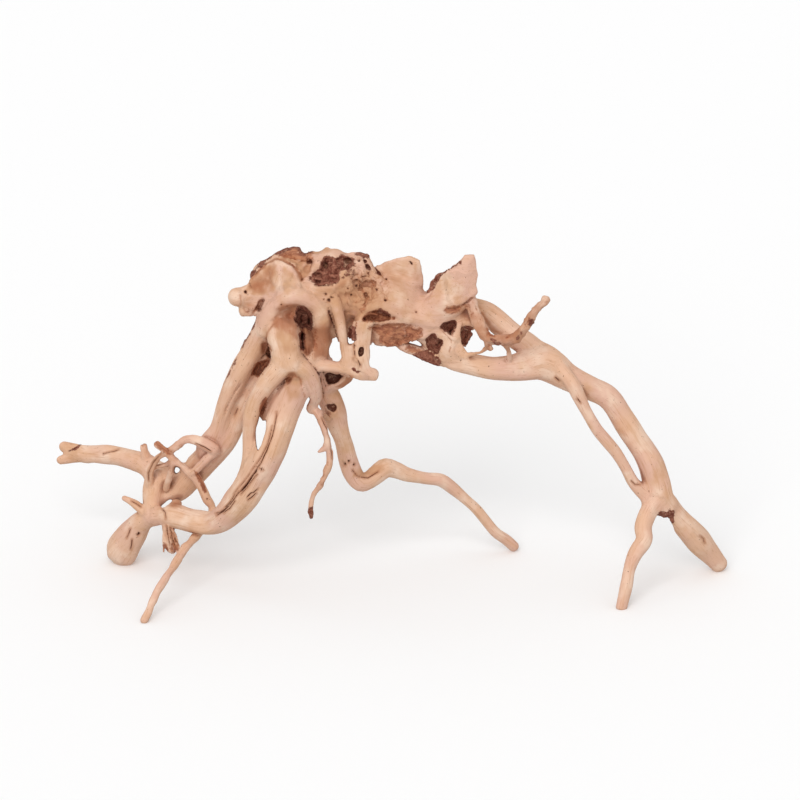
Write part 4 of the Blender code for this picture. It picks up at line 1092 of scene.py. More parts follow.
def drawn_block(field, front, line, depth):
    """The block round a drawn shape on the wood: its place, across, up, and depth behind the front."""
    line = np.asarray(line, float)
    (left, low), (right, high) = line.min(0) - CUT_MARGIN, line.max(0) + CUT_MARGIN
    across, up = np.meshgrid(np.arange(left, right, CELL), np.arange(low, high, CELL), indexing="ij")
    fronts = front.at(across, up)
    nearest = np.nanmin(fronts) - CUT_MARGIN
    farthest = min(np.nanmax(fronts) + depth + CUT_MARGIN, FARTHEST)
    corners = stand([(a, u, y) for a in (left, right) for u in (low, high) for y in (nearest, farthest)])
    where, (x, y, z) = field.block(corners.min(0), corners.max(0))
    away = y + MIDDLE_AWAY
    up = z * math.cos(VIEW_ANGLE) + away * math.sin(VIEW_ANGLE)
    across = x + MIDDLE_ACROSS
    behind = away - front.at(across + 0 * up, up + 0 * across)
    return where, across + 0 * up, up + 0 * across, np.nan_to_num(behind, nan=FAR)


def cut_drawn(field, where, distance, behind, depth, slope, unevenness):
    """Cut a drawn shape back from the front, with a sloping side and an uneven floor."""
    if depth < THROUGH:
        floor = depth * smooth_step(0, slope, -distance) + unevenness
        distance = np.maximum(np.maximum(distance, behind - floor), -behind - CUT_START)
    field.carve(where, distance.astype(np.float32), CUT_BLEND)


def rim_wander(across, up, roughness):
    """How far a drawn rim strays at each place, in millimetres."""
    places = np.stack([across, up, 0 * up], axis=-1)
    strays = 0.9 * RIM_NOISE(places / 2.8) + 0.5 * RIM_NOISE(places / 1.2 + 9)
    return (0.25 + 0.65 * roughness) * strays


def cut_pits(field, front):
    """Cut the hollows and gaps with a drawn outline."""
    for depth, slope, roughness, _, _, _, outline in PITS.values():
        where, across, up, behind = drawn_block(field, front, outline, depth)
        distance = outline_distance(across, up, rounded(outline)) + rim_wander(across, up, roughness)
        unevenness = roughness * RIM_NOISE(np.stack([across, up, 0 * up], axis=-1) / 1.7)
        cut_drawn(field, where, distance, behind, depth, slope, unevenness)


def cut_grooves(field, front):
    """Cut the drawn grooves, which taper to both ends."""
    wobble = Noise(15)
    for half, depth, _, _, line in GROOVES.values():
        where, across, up, behind = drawn_block(field, front, line, depth)
        wander = wobble(np.stack([across, up, behind], axis=-1) / 2.3)
        distance, along = line_distance(np.column_stack([across.ravel(), up.ravel()]), line)
        taper = half * np.sqrt(np.clip(1 - (2 * along - 1) ** 6, 0.05, 1))
        distance = (distance - taper).reshape(across.shape) + 0.25 * wander
        cut_drawn(field, where, distance, behind, depth, half, 0.2 * wander)


def grow_ridges(field, front, ridges, wobble):
    """Thin limbs that lie on the wood's front, or a little under it."""
    for radius, lift, line in ridges.values():
        line = np.asarray(line, float)
        away = front.at(line[:, 0], line[:, 1])
        known = ~np.isnan(away)
        away = away[known] + radius - lift
        path = np.column_stack([line[known], away, np.full(len(away), radius)])
        grow_limb(field, path, RIDGE_BLEND, wobble)


def grow_splinters(field, wobble):
    """The splinters of the frayed stub, side by side and a little tangled."""
    chance = np.random.default_rng(17)
    starts, ends = np.array(SPLINTER_START, float), np.array(SPLINTER_END, float)
    for number in range(SPLINTERS):
        share = (number + 0.5) / SPLINTERS
        start = starts[0] + share * (starts[1] - starts[0]) + chance.normal(0, 0.5, 3)
        end = ends[0] + share * (ends[1] - ends[0]) + chance.normal(0, 0.8, 3)
        middle = 0.5 * (start + end) + chance.normal(0, 0.5, 3)
        grow_limb(field, [(*start, 0.9), (*middle, 0.9), (*end, 0.6)], SPLINTER_BLEND, wobble)


def grow_field():
    """All of the wood as a field, and its front."""
    everything = [*LEGS.values(), *STRANDS.values(), *TWIGS.values()]
    places = np.vstack([stand(np.asarray(points, float)[:, :3]) for points in everything])
    field = Field(places.min(0) - ROOM_BELOW, places.max(0) + ROOM_ABOVE)
    wobble = Noise(3)
    for lump in LUMPS.values():
        where, distance = ellipsoid(field, *lump)
        field.add(where, distance, LUMP_BLEND)
    for points in (*LEGS.values(), *STRANDS.values()):
        grow_limb(field, points, LEG_BLEND, wobble)
    for away, thickness, outline in FINS.values():
        grow_fin(field, away, thickness, outline, wobble)
    grow_ridges(field, Front(field), RIDGES, wobble)
    erode_trunk(field)
    for points in TWIGS.values():
        grow_limb(field, points, TWIG_BLEND, wobble)
    grow_splinters(field, wobble)
    front = Front(field)
    cut_pits(field, front)
    cut_grooves(field, front)
    grow_ridges(field, front, SLIVERS, wobble)
    return field, front


def crossed_cells(wood):
    """The cells of the grid that the surface runs through, and their numbers."""
    inner = [
        wood[i : i + wood.shape[0] - 1, j : j + wood.shape[1] - 1, k : k + wood.shape[2] - 1]
        for i, j, k in np.ndindex(2, 2, 2)
    ]
    mixed = np.logical_or.reduce(inner) & ~np.logical_and.reduce(inner)
    cells = np.argwhere(mixed)
    numbers = np.full(mixed.shape, -1, np.int32)
    numbers[mixed] = np.arange(len(cells))
    return cells, numbers


def surface_points(field, cells):
    """One point in each cell: the middle of the places where the surface crosses the cell's edges."""
    values = field.values
    total, count = np.zeros((len(cells), 3)), np.zeros(len(cells))
    for axis in range(3):
        step = np.eye(3, dtype=int)[axis]
        for corner in np.ndindex(2, 2, 2):
            if corner[axis]:
                continue
            a = values[tuple((cells + corner).T)]
            b = values[tuple((cells + corner + step).T)]
            crossed = (a < 0) != (b < 0)
            share = np.where(crossed, a / np.where(crossed, a - b, 1), 0)
            total[crossed] += (np.array(corner) + share[:, None] * step)[crossed]
            count[crossed] += 1
    return field.low + CELL * (cells + total / count[:, None])


def surface_faces(wood, numbers):
    """One four-sided face round each edge of the grid that the surface crosses."""
    faces = []
    for axis in range(3):
        u, v = (axis + 1) % 3, (axis + 2) % 3
        step_u, step_v = np.eye(3, dtype=int)[u], np.eye(3, dtype=int)[v]
        near = [slice(1, -1)] * 3
        far = [slice(1, -1)] * 3
        near[axis], far[axis] = slice(0, -1), slice(1, None)
        a, b = wood[tuple(near)], wood[tuple(far)]
        offset = np.array([0 if i == axis else 1 for i in range(3)])
        for leaving, found in ((True, a & ~b), (False, ~a & b)):
            at = np.argwhere(found) + offset
            around = [at - step_u - step_v, at - step_v, at, at - step_u]
            face = np.column_stack([numbers[tuple(place.T)] for place in around])
            faces.append(face if leaving else face[:, ::-1])
    return np.vstack(faces)


def skin(field):
    """The surface of the wood: points and four-sided faces."""
    wood = field.values < 0
    cells, numbers = crossed_cells(wood)
    return surface_points(field, cells), surface_faces(wood, numbers)


def mesh_of(name, points, faces):
    """A Blender mesh from millimetre points and faces with a fixed number of corners."""
    mesh = bpy.data.meshes.new(name)
    corners = faces.shape[1]
    mesh.vertices.add(len(points))
    mesh.vertices.foreach_set("co", (points * MM).astype(np.float32).ravel())
    mesh.loops.add(faces.size)
    mesh.loops.foreach_set("vertex_index", faces.astype(np.int32).ravel())
    mesh.polygons.add(len(faces))
    mesh.polygons.foreach_set("loop_start", np.arange(0, faces.size, corners, dtype=np.int32))
    mesh.update(calc_edges=True)
    mesh.validate()
    return mesh


def read_points(mesh, attribute):
    """The places or normals of a mesh's points."""
    found = np.empty(len(mesh.vertices) * 3, np.float32)
    mesh.vertices.foreach_get(attribute, found)
    return found.reshape(-1, 3).astype(float)


def thinned(mesh, triangles):
    """The mesh with fewer triangles, most of them kept where the surface bends."""
    holder = bpy.data.objects.new("holder", mesh)
    bpy.context.scene.collection.objects.link(holder)
    thin = holder.modifiers.new("thin", "DECIMATE")
    thin.ratio = min(1.0, triangles / (2 * len(mesh.polygons)))
    graph = bpy.context.evaluated_depsgraph_get()
    made = bpy.data.meshes.new_from_object(holder.evaluated_get(graph))
    bpy.data.objects.remove(holder)
    return made


def in_box(points, shape, margin):
    """Which points lie in the box round a shape. A flat shape has a flat box."""
    low, high = shape.min(0) - margin, shape.max(0) + margin
    places = points[:, : len(low)]
    return ((places > low) & (places < high)).all(axis=1)


def line_distance(points, line):
    """Distance of plane points to a broken line, and how far along it the nearest place is, from 0 to 1."""
    line = np.asarray(line, float)
    nearest = np.full(len(points), 1e9)
    share_at = np.zeros(len(points))
    for index, (start, end) in enumerate(zip(line, line[1:])):
        step = end - start
        share = np.clip(((points - start) @ step) / (step @ step), 0, 1)
        distance = np.linalg.norm(points - start - share[:, None] * step, axis=1)
        closer = distance < nearest
        nearest[closer] = distance[closer]
        share_at[closer] = (index + share[closer]) / (len(line) - 1)
    return nearest, share_at


def crack_shares(view, wander):
    """For each crack: how far each point lies in it and in its stain, from 0 to 1, and its depth."""
    for half, depth, line in CRACKS.values():
        line = np.asarray(line, float)
        near = in_box(view, line, 3)
        share, halo = np.zeros(len(view)), np.zeros(len(view))
        distance, along = line_distance(view[near, :2] + 0.25 * wander[near], line)
        taper = np.sqrt(np.clip(1 - (2 * along - 1) ** 8, 0.05, 1))
        taper *= 0.8 + 0.5 * wander[near, 1]
        share[near] = 1 - smooth_step(0.2, 1.3, distance / (half * taper))
        halo[near] = 1 - smooth_step(0, 1.6, distance)
        yield share, halo, depth


def hole_shares(view, wander):
    """For each small hole: the same as for a crack."""
    for across, up, half, depth in HOLES:
        near = np.abs(view[:, :2] - (across, up)).max(axis=1) < 9
        share, halo = np.zeros(len(view)), np.zeros(len(view))
        distance = np.linalg.norm(view[near, :2] + 0.3 * wander[near] - (across, up), axis=1)
        share[near] = 1 - smooth_step(0.4, 1.4, distance / half)
        halo[near] = 0.7 * (1 - smooth_step(half, half + 1, distance))
        yield share, halo, depth


def needs_detail(points, front):
    """Where edges are split: near the cracks and holes, and on the worm-eaten part of the trunk."""
    view = drawn(points)
    shown = front.behind(view) < SHOWN_DEPTH
    found = region_share(points, *WORMY) > 0
    for half, _, line in CRACKS.values():
        distance, _ = line_distance(view[:, :2], line)
        found |= shown & (distance < half + FINE_MARGIN)
    for across, up, half, _ in HOLES:
        distance = np.linalg.norm(view[:, :2] - (across, up), axis=1)
        found |= shown & (distance < half + FINE_MARGIN)
    return found


def refined(mesh, front):
    """Split the long edges where fine carving comes, twice over."""
    work = bmesh.new()
    work.from_mesh(mesh)
    for _ in range(2):
        work.verts.index_update()
        points = np.array([vert.co for vert in work.verts]) / MM
        wanted = needs_detail(points, front)
        fine = [edge for edge in work.edges if all(wanted[vert.index] for vert in edge.verts)]
        long = [edge for edge in fine if edge.calc_length() > FINE_EDGE * MM]
        bmesh.ops.subdivide_edges(work, edges=long, cuts=1)
        bmesh.ops.triangulate(work, faces=work.faces)
    work.to_mesh(mesh)
    work.free()
    return mesh


def grain_frames(path):
    """Two directions across a path at each of its points, carried along without twisting."""
    ahead = np.gradient(path[:, :3], axis=0)
    ahead /= np.linalg.norm(ahead, axis=1)[:, None]
    side = np.cross(ahead[0], (0.3, 0.5, 0.8))
    sides = []
    for direction in ahead:
        side = side - (side @ direction) * direction
        side = side / np.linalg.norm(side)
        sides.append(side)
    sides = np.array(sides)
    return sides, np.cross(ahead, sides)


def grain_of(points):
    """For each point: its place along and across the limb that it lies on, and that limb's radius."""
    grain = points.copy()
    best = np.full(len(points), 1e9)
    radius = np.full(len(points), LOOSE_RADIUS)
    limbs = [TRUNK_GRAIN, *LEGS.values(), *STRANDS.values(), *TWIGS.values()]
    for number, limb in enumerate(limbs):
        path = smooth_path(limb, 2 * PATH_STEP)
        sides, others = grain_frames(path)
        along = length_along(path)
        near = np.flatnonzero(in_box(points, path[:, :3], path[:, 3].max() + 5))
        for chunk in np.array_split(near, max(1, len(near) * len(path) // MOST_DISTANCES)):
            offset = points[chunk, None, :] - path[None, :, :3]
            gap_to = np.linalg.norm(offset, axis=2) - path[None, :, 3]
            nearest = gap_to.argmin(axis=1)
            gap_to = gap_to[np.arange(len(chunk)), nearest]
            closer = gap_to < best[chunk]
            mine, at = chunk[closer], nearest[closer]
            away = points[mine] - path[at, :3]
            best[mine] = gap_to[closer]
            radius[mine] = path[at, 3]
            ahead = np.cross(sides[at], others[at])
            grain[mine] = np.column_stack([
                along[at] + (away * ahead).sum(axis=1) + GRAIN_SHIFT_ALONG * number,
                (away * sides[at]).sum(axis=1) + GRAIN_SHIFT_ACROSS * number,
                (away * others[at]).sum(axis=1),
            ])
    return grain, radius


def near_drawn(view, behind, line, depth, soft):
    """Which points lie near a drawn shape, and not far behind the front."""
    return in_box(view, line, soft + 2) & (behind > -PAINT_FADE) & (behind < depth + PAINT_FADE)


def drawn_share(view, behind, near, distance, depth, soft, roughness):
    """How much of a drawn shape's paint each point takes: 1 well inside it, 0 outside or far behind."""
    share = np.zeros(len(view))
    distance = distance + rim_wander(view[near, 0], view[near, 1], roughness)
    share[near] = 1 - smooth_step(-soft, soft, distance)
    share[near] *= 1 - smooth_step(depth + 1, depth + PAINT_FADE, behind[near])
    return share


def outline_share(view, behind, outline, depth, soft, roughness):
    """How much paint each point takes from a shape with an outline."""
    corners = rounded(outline)
    near = near_drawn(view, behind, corners, depth, soft)
    distance = outline_distance(view[near, 0], view[near, 1], corners)
    return drawn_share(view, behind, near, distance, depth, soft, roughness)


def groove_share(view, behind, line, half, depth):
    """How much paint each point takes from a groove."""
    line = np.asarray(line, float)
    near = near_drawn(view, behind, line, depth, GROOVE_SOFTNESS)
    distance = line_distance(view[near, :2], line)[0] - half
    return drawn_share(view, behind, near, distance, depth, GROOVE_SOFTNESS, GROOVE_ROUGHNESS)


def paint_shares(points, view, behind, ragged):
    """For each paint, how much of it each point takes, with ragged rims."""
    shares = {}
    for paint, regions in REGIONS.items():
        share = np.zeros(len(points))
        for region in regions.values():
            share = np.maximum(share, np.clip(region_share(points, *region) + 0.25, 0, 1))
        if paint in ("bark", "fibre"):
            share = smooth_step(0.3, 0.8, share + 0.25 * ragged)
        shares[paint] = share
    for depth, _, roughness, paint, strength, soft, outline in PITS.values():
        share = outline_share(view, behind, outline, min(depth, DEEPEST_PAINT), soft, roughness)
        shares[paint] = np.maximum(shares[paint], strength * share)
    for half, depth, paint, strength, line in GROOVES.values():
        share = groove_share(view, behind, line, half, depth)
        shares[paint] = np.maximum(shares[paint], strength * share)
    for paint, strength, soft, outline in PATCHES.values():
        share = outline_share(view, behind, outline, PATCH_DEPTH, soft, PATCH_ROUGHNESS)
        shares[paint] = np.maximum(shares[paint], strength * share)
    return {paint: np.clip(share * (1 + 0.35 * ragged), 0, 1) for paint, share in shares.items()}


def wood_relief(points, grain, size):
    """Bare wood: flutes and fibres along the grain, and broad swells."""
    flutes = Noise(31)(grain / (34, 4.6, 4.6)) + 0.5 * Noise(32)(grain / (20, 2.1, 2.1))
    swells = Noise(33)(points / 9)
    fibres = Noise(34)(grain / (9, 0.9, 0.9))
    return size * (0.5 * flutes + 0.45 * swells) + 0.07 * fibres


def bark_relief(points, bark):
    """Bark is crumbly and a little proud of the wood."""
    return smooth_step(0.4, 0.6, bark) * (0.6 * Noise(35).layers(points / 2.2, 3) + 0.2)


def fibre_relief(grain, fibre):
    """Torn fibre runs along the grain."""
    return smooth_step(0.4, 0.6, fibre) * 0.3 * Noise(36)(grain / (18, 1.5, 1.5))


def worm_pits(points, wormy):
    """How far each point lies in a worm's tunnel or pit, from 0 to 1."""
    tunnels = smooth_step(0.8, 1.0, 1 - 2 * np.abs(Noise(37).layers(points / 4.2, 2)))
    tunnels *= smooth_step(-0.1, 0.4, Noise(39)(points / 2.6))
    return np.maximum(tunnels, smooth_step(0.55, 0.8, Noise(40)(points / 1.6))) * wormy


def painted_shade_share(points, normals, field):
    """How much wood stands in front of each point, from 0 in the open to 1 deep in a hollow. The material
    paints shade with it.
    """
    reaches = (1.5, 3.0, 5.5)
    closed = np.zeros(len(points))
    for reach in reaches:
        closed += np.clip(1 - field.at(points + normals * reach) / reach, 0, 1) / len(reaches)
    return closed


def place_points(mesh, points):
    """Put a mesh's points where they are wanted, none of them below the floor."""
    points[:, 2] = np.maximum(points[:, 2], FLOOR_CLEARANCE)
    mesh.vertices.foreach_set("co", (points * MM).astype(np.float32).ravel())


def twig_knots(points):
    """The knots of gnarled twigs, above zero, and the hollows between them, below."""
    return Noise(38).layers(points / (2.2, 2.2, 2.6), 3)


def relief(points, grain, size, paints, knotty, wormy, pits):
    """How far each point stands out of the smooth skin, in millimetres."""
    move = wood_relief(points, grain, size)
    move += bark_relief(points, paints["bark"])
    move += KNOT_HEIGHT * knotty * twig_knots(points)
    move += fibre_relief(grain, paints["fibre"])
    move += wormy * 0.3 * Noise(41).layers(points / 2.4, 3)
    move -= PIT_DEPTH * pits
    return move


def sink_marks(move, view, shown, wander, cracks, stains):
    """Sink the drawn cracks and holes into the skin, and add them and their stains to those there are."""
    for share, halo, depth in (*crack_shares(view, wander), *hole_shares(view, wander)):
        move -= shown * share * depth
        cracks = np.maximum(cracks, shown * share)
        stains = np.maximum(stains, shown * halo)
    return cracks, stains


def carve_skin(mesh, field, front):
    """Move the points for grain, cracks, holes and bark, and store what the material reads."""
    points = read_points(mesh, "co") / MM
    normals = read_points(mesh, "normal")
    view = drawn(points)
    behind = front.behind(view)
    grain, radius = grain_of(points)
    size = np.clip(radius / THICK, 0.15, 1)
    thin = size < THIN_SIZE

    ragged = Noise(21).layers(points / 3.1, 3)
    wander = np.column_stack([Noise(22)(points / 3.5), Noise(23)(points / 3.5)])
    paints = paint_shares(points, view, behind, ragged)
    knotty = paints["brown_and_shade"] * thin
    wormy = inside(points, WORMY, 0.4)
    pits = worm_pits(points, wormy)
    move = relief(points, grain, size, paints, knotty, wormy, pits)
    between_knots = smooth_step(0.1, 0.5, -twig_knots(points))
    paints["fibre"] = np.maximum(paints["fibre"], 0.8 * knotty * between_knots)
    paints["brown_and_shade"] *= 1 - 0.25 * thin

    towards = -normals[:, 1] * math.cos(VIEW_ANGLE) + normals[:, 2] * math.sin(VIEW_ANGLE)
    shown = smooth_step(-0.1, 0.25, towards) * (1 - smooth_step(SHOWN_DEPTH / 2, SHOWN_DEPTH, behind))
    stains = wormy * np.maximum(0.5 * smooth_step(0.1, 0.8, ragged), 0.6 * smooth_step(0.1, 0.6, pits))
    cracks, stains = sink_marks(move, view, shown, wander, 0.62 * pits, stains)

    place_points(mesh, points + normals * move[:, None])
    # How closed in each point is, kept for the material's painted shade in hollows.
    closed = painted_shade_share(points, normals, field)
    shares = {**paints, "crack": cracks, "stain": stains, "wormy": wormy, "closed": closed}
    for name, share in shares.items():
        store(mesh, name, share)
    vector = mesh.attributes.new("grain", "FLOAT_VECTOR", "POINT")
    vector.data.foreach_set("vector", grain.astype(np.float32).ravel())


def store(mesh, name, values):
    """Keep one number for each point, for the material to read."""
    attribute = mesh.attributes.new(name, "FLOAT", "POINT")
    attribute.data.foreach_set("value", values.astype(np.float32))


def colour(red, green, blue):
    """A screen colour from 0 to 255, as the shader's linear one."""
    shares = np.array([red, green, blue]) / 255
    linear = np.where(shares <= 0.04045, shares / 12.92, ((shares + 0.055) / 1.055) ** 2.4)
    return (*linear, 1.0)


class Tree:
    """Short ways to add shader nodes to one material."""

    def __init__(self, material):
        material.use_nodes = True
        self.nodes = material.node_tree.nodes
        self.links = material.node_tree.links
        self.nodes.clear()

    def node(self, kind, **settings):
        """A new node with some of its settings."""
        made = self.nodes.new(kind)
        for name, value in settings.items():
            setattr(made, name, value)
        return made

    def feed(self, socket, value):
        """Give a socket a value, or link it to another node's socket."""
        if isinstance(value, bpy.types.NodeSocket):
            self.links.new(value, socket)
        else:
            socket.default_value = value

    def attribute(self, name, output="Fac"):
        """What is stored for each point of the mesh."""
        return self.node("ShaderNodeAttribute", attribute_name=name).outputs[output]

    def noise(self, vector, scale, detail, roughness=0.5):
        """Smooth noise from 0 to 1, about 0.5."""
        made = self.node("ShaderNodeTexNoise")
        self.feed(made.inputs["Vector"], vector)
        self.feed(made.inputs["Scale"], scale)
        self.feed(made.inputs["Detail"], detail)
        self.feed(made.inputs["Roughness"], roughness)
        return made.outputs["Fac"]

    def scaled(self, vector, factors):
        """Each part of a vector times its own factor."""
        made = self.node("ShaderNodeVectorMath", operation="MULTIPLY")
        self.feed(made.inputs[0], vector)
        self.feed(made.inputs[1], factors)
        return made.outputs["Vector"]

    def math(self, operation, *values):
        """A sum with numbers or sockets."""
        made = self.node("ShaderNodeMath", operation=operation)
        for socket, value in zip(made.inputs, values):
            self.feed(socket, value)
        return made.outputs["Value"]

    def ramp(self, value, low, high, out_low=0.0, out_high=1.0):
        """A smooth step from one value at low to another at high."""
        made = self.node("ShaderNodeMapRange", interpolation_type="SMOOTHSTEP")
        limits = {"From Min": low, "From Max": high, "To Min": out_low, "To Max": out_high}
        for name, given in {"Value": value, **limits}.items():
            self.feed(made.inputs[name], given)
        return made.outputs["Result"]

    def mix(self, share, first, second):
        """A share of the second colour over the first."""
        made = self.node("ShaderNodeMix", data_type="RGBA")
        self.feed(made.inputs["Factor"], share)
        self.feed(made.inputs["A"], first)
        self.feed(made.inputs["B"], second)
        return made.outputs["Result"]


class Textures:
    """The noises that the wood's colours and bump share: some in the open, some along the grain."""

    def __init__(self, tree):
        place = tree.node("ShaderNodeTexCoord").outputs["Object"]
        millimetres = tree.scaled(place, (1 / MM,) * 3)
        grain = tree.attribute("grain", "Vector")
        self.broad = tree.noise(millimetres, 0.035, 3.0)
        self.patches = tree.noise(millimetres, 0.09, 3.0)
        self.blotches = tree.noise(millimetres, 0.06, 4.0, 0.6)
        self.flecks = tree.noise(millimetres, 0.55, 3.0, 0.6)
        self.ragged = tree.noise(millimetres, 0.9, 3.0, 0.65)
        self.specks = tree.noise(millimetres, 0.8, 2.0, 0.5)
        self.long_grain = tree.noise(tree.scaled(grain, (0.035, 0.55, 0.55)), 1.0, 3.0, 0.6)
        self.fine_grain = tree.noise(tree.scaled(grain, (0.11, 2.4, 2.4)), 1.0, 3.0, 0.6)
        self.coarse_fibre = tree.noise(tree.scaled(grain, (0.14, 0.9, 0.9)), 1.0, 4.0, 0.65)
        self.fine_stray = tree.math("MULTIPLY", tree.math("SUBTRACT", self.ragged, 0.5), 1.2)
        self.soft_stray = tree.math("MULTIPLY", tree.math("SUBTRACT", self.blotches, 0.5), 1.2)


def painted(tree, name, stray, low, high, most=1.0):
    """How strongly a paint shows, with a rim that strays."""
    return tree.ramp(tree.math("ADD", tree.attribute(name), stray), low, high, 0.0, most)


def bare_wood(tree, look):
    """Peach and pink wood with pale and yellow patches, and tan and brown streaks along the grain."""
    wood = tree.mix(tree.ramp(look.broad, 0.35, 0.65), colour(*PEACH), colour(*PINK))
    wood = tree.mix(tree.ramp(look.patches, 0.46, 0.72), wood, colour(*PALE))
    wood = tree.mix(tree.ramp(look.blotches, 0.5, 0.72, 0.0, 0.6), wood, colour(*YELLOW))
    wood = tree.mix(tree.ramp(look.long_grain, 0.5, 0.75, 0.0, 0.55), wood, colour(*TAN))
    wood = tree.mix(tree.ramp(look.fine_grain, 0.55, 0.74, 0.0, 0.5), wood, colour(*STREAK))
    return tree.mix(tree.ramp(look.specks, 0.7, 0.75, 0.0, 0.75), wood, colour(*CRACK_BROWN))


def worn_and_shaded_wood(tree, look, wood):
    """Tan on the trunk, brown on the twigs, and red fibre where the wood is torn. Brown paint is also
    painted shade under parts and in recesses, and tan and fibre paint stand in for shade in a few places.
    """
    worn = tree.mix(tree.ramp(look.patches, 0.4, 0.65), colour(*WORN_AND_SHADED_TAN), colour(*WORN_AND_SHADED_YELLOW))
    wood = tree.mix(painted(tree, "tan", look.soft_stray, 0.1, 1.0, 0.85), wood, worn)
    # Brown paint: the twigs' own colour, and painted shade under parts and in recesses.
    wood = tree.mix(painted(tree, "brown_and_shade", look.soft_stray, 0.1, 1.0, 0.85), wood, colour(*TWIG_BROWN_AND_SHADE))
    fibre = tree.mix(tree.ramp(look.coarse_fibre, 0.36, 0.62), colour(*FIBRE_RED), colour(*FIBRE_ORANGE))
    return tree.mix(painted(tree, "fibre", look.fine_stray, 0.25, 0.75, 0.9), wood, fibre)


def bark_colour(tree, look):
    """Dark bark, flecked and frayed to a lighter brown."""
    bark = tree.mix(tree.ramp(look.flecks, 0.4, 0.58), colour(*BARK_BROWN), colour(*BARK_MIDDLE))
    bark = tree.mix(tree.ramp(look.coarse_fibre, 0.52, 0.7, 0.0, 0.8), bark, colour(*BARK_LIGHT))
    return tree.mix(tree.ramp(look.ragged, 0.6, 0.44, 0.0, 0.5), bark, colour(*BARK_BROWN))


def hollow_wood(tree, look, wood, barky):
    """Painted shade: hollows darken with their depth, under and over the bark, and pits and grooves take
    their dark paint.
    """
    closed = tree.attribute("closed")
    # Painted shade: brown where wood closes in over a point.
    wood = tree.mix(tree.ramp(closed, 0.35, 0.8, 0.0, 0.55), wood, colour(*SHADE_BROWN))
    wood = tree.mix(barky, wood, bark_colour(tree, look))
    # Deeper painted shade, deepest in the hollows.
    wood = tree.mix(tree.ramp(closed, 0.8, 1.05, 0.0, 0.45), wood, colour(*DEEP_SHADE_BROWN))
    # The dark paint of pits and grooves: painted shade.
    return tree.mix(painted(tree, "dark", look.fine_stray, 0.3, 0.9, 0.92), wood, colour(*DEEP_SHADE_BROWN))


def cracked_wood(tree, look, wood):
    """Worm marks, then the stains round cracks, then the cracks."""
    eaten = tree.math("MULTIPLY", tree.ramp(look.ragged, 0.52, 0.64), tree.attribute("wormy"))
    wood = tree.mix(tree.math("MULTIPLY", eaten, 0.6), wood, colour(*STREAK))
    pricks = tree.math("MULTIPLY", tree.ramp(look.flecks, 0.66, 0.72), tree.attribute("wormy"))
    wood = tree.mix(tree.math("MULTIPLY", pricks, 0.8), wood, colour(*CRACK_BROWN))
    wood = tree.mix(tree.ramp(tree.attribute("stain"), 0.1, 1.0, 0.0, 0.6), wood, colour(*STREAK))
    broken = tree.ramp(look.ragged, 0.35, 0.55, 0.75, 1.0)
    crack = tree.math("MULTIPLY", tree.ramp(tree.attribute("crack"), 0.35, 0.9), broken)
    return tree.mix(crack, wood, colour(*CRACK_BROWN))


def wood_bump(tree, look, barky):
    """Fine relief: the grain everywhere, and crumbs in the bark."""
    fine = tree.math("MULTIPLY", look.fine_grain, 0.5)
    height = tree.math("ADD", fine, tree.math("MULTIPLY", look.long_grain, 0.4))
    crumbs = tree.math("MULTIPLY", tree.math("MULTIPLY", look.ragged, barky), 2.0)
    bump = tree.node("ShaderNodeBump")
    bump.inputs["Strength"].default_value = 0.8
    bump.inputs["Distance"].default_value = 0.4 * MM
    tree.feed(bump.inputs["Height"], tree.math("ADD", height, crumbs))
    return bump.outputs["Normal"]


def wood_material():
    """Matt washed wood."""
    material = bpy.data.materials.new("washed_wood")
    tree = Tree(material)
    look = Textures(tree)
    barky = painted(tree, "bark", look.fine_stray, 0.4, 0.64)
    wood = worn_and_shaded_wood(tree, look, bare_wood(tree, look))
    wood = cracked_wood(tree, look, hollow_wood(tree, look, wood, barky))
    shader = tree.node("ShaderNodeBsdfPrincipled")
    tree.feed(shader.inputs["Base Color"], wood)
    tree.feed(shader.inputs["Roughness"], tree.ramp(look.fine_grain, 0.3, 0.7, 0.66, 0.86))
    tree.feed(shader.inputs["Normal"], wood_bump(tree, look, barky))
    tree.feed(shader.inputs["Specular IOR Level"], 0.12)
    output = tree.node("ShaderNodeOutputMaterial")
    tree.feed(output.inputs["Surface"], shader.outputs["BSDF"])
    return material


def make_root():
    """The whole root, in the place of the frame's node."""
    field, front = grow_field()
    points, faces = skin(field)
    mesh = refined(thinned(mesh_of("skin", points, faces), PLAIN_TRIANGLES), front)
    mesh.validate()
    carve_skin(mesh, field, front)
    mesh.shade_smooth()
    mesh.materials.clear()
    mesh.materials.append(wood_material())
    root = bpy.data.objects.new("root_wood", mesh)
    bpy.context.scene.collection.objects.link(root)
    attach(root, "root")
    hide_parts("root")


def make_floor():
    """A wide, pale floor. It throws no light back up at the root."""
    half = FLOOR_SIZE / 2
    corners = [(-half, -half, 0), (half, -half, 0), (half, half, 0), (-half, half, 0)]
    mesh = bpy.data.meshes.new("floor")
    mesh.from_pydata(corners, [], [(0, 1, 2, 3)])
    floor = bpy.data.objects.new("floor", mesh)
    bpy.context.scene.collection.objects.link(floor)
    material = bpy.data.materials.new("pale_floor")
    material.use_nodes = True
    shader = material.node_tree.nodes["Principled BSDF"]
    shader.inputs["Base Color"].default_value = (FLOOR_WHITE, FLOOR_WHITE, FLOOR_WHITE, 1)
    shader.inputs["Roughness"].default_value = FLOOR_ROUGHNESS
    mesh.materials.append(material)
    floor.visible_diffuse = False


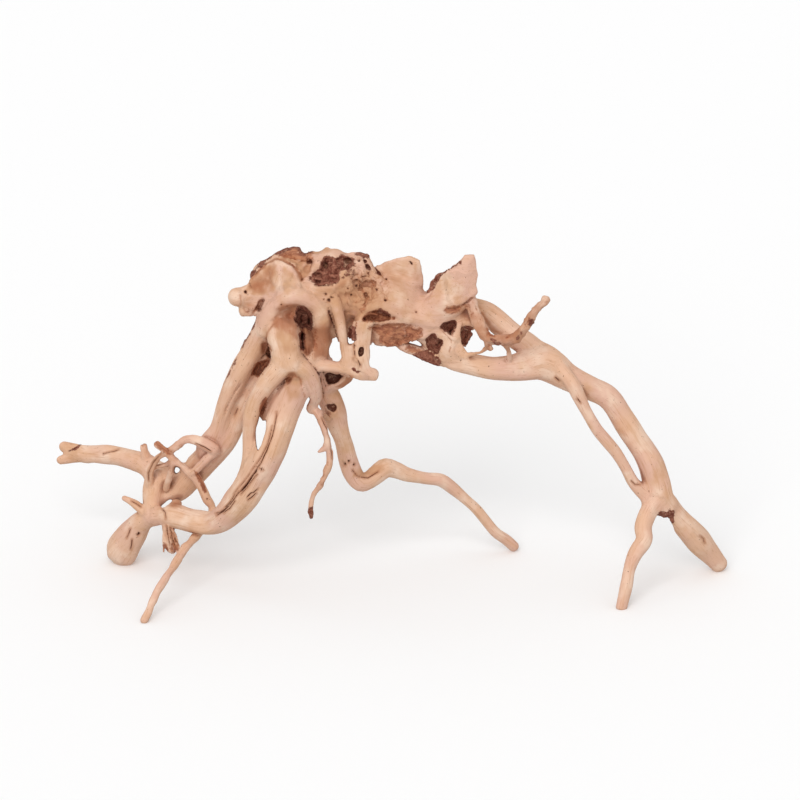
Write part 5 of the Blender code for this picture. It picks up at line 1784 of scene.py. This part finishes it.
def make_surroundings():
    """An even glow all round, a little stronger from above."""
    world = bpy.data.worlds.new("studio")
    bpy.context.scene.world = world
    world.use_nodes = True
    nodes, links = world.node_tree.nodes, world.node_tree.links
    background = nodes["Background"]
    background.inputs["Strength"].default_value = 1.0
    place = nodes.new("ShaderNodeTexCoord")
    split = nodes.new("ShaderNodeSeparateXYZ")
    links.new(place.outputs["Generated"], split.inputs["Vector"])
    rise = nodes.new("ShaderNodeMapRange")
    limits = {"From Min": -0.4, "From Max": 0.7, "To Min": LIGHT_BELOW, "To Max": LIGHT_ABOVE}
    for name, value in limits.items():
        rise.inputs[name].default_value = value
    links.new(split.outputs["Z"], rise.inputs["Value"])
    links.new(rise.outputs["Result"], background.inputs["Color"])


def light_scene():
    """The surroundings, one large soft lamp, and plain colours."""
    make_surroundings()
    light = bpy.data.lights.new("key", "SUN")
    light.energy = KEY_STRENGTH
    light.angle = math.radians(KEY_ANGLE)
    key = bpy.data.objects.new("key", light)
    bpy.context.scene.collection.objects.link(key)
    key.rotation_euler = Vector(KEY_DIRECTION).to_track_quat("-Z", "Y").to_euler()
    bpy.context.scene.view_settings.view_transform = "Standard"


def place_camera():
    """A long lens, far away, so that the picture is nearly the drawing: 0.4 m fills its 800 pixels."""
    distance = 10.0
    frame_width = 0.4
    data = bpy.data.cameras.new("camera")
    data.sensor_width = 36
    data.lens = data.sensor_width * distance / frame_width
    data.clip_end = 100
    camera = bpy.data.objects.new("camera", data)
    bpy.context.scene.collection.objects.link(camera)
    middle = stand((*VIEW_MIDDLE, MIDDLE_AWAY)) * MM
    back = Vector((0, -math.cos(VIEW_ANGLE), math.sin(VIEW_ANGLE)))
    camera.location = Vector(middle) + back * distance
    camera.rotation_euler = (math.pi / 2 - VIEW_ANGLE, 0, 0)
    bpy.context.scene.camera = camera


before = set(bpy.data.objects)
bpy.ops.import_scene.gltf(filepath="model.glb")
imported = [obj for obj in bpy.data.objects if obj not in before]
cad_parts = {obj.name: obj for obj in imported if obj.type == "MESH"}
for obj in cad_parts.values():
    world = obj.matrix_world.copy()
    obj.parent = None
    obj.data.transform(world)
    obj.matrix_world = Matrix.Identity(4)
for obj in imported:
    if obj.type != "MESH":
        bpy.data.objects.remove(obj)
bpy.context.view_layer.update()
make_root()
make_floor()
light_scene()
place_camera()
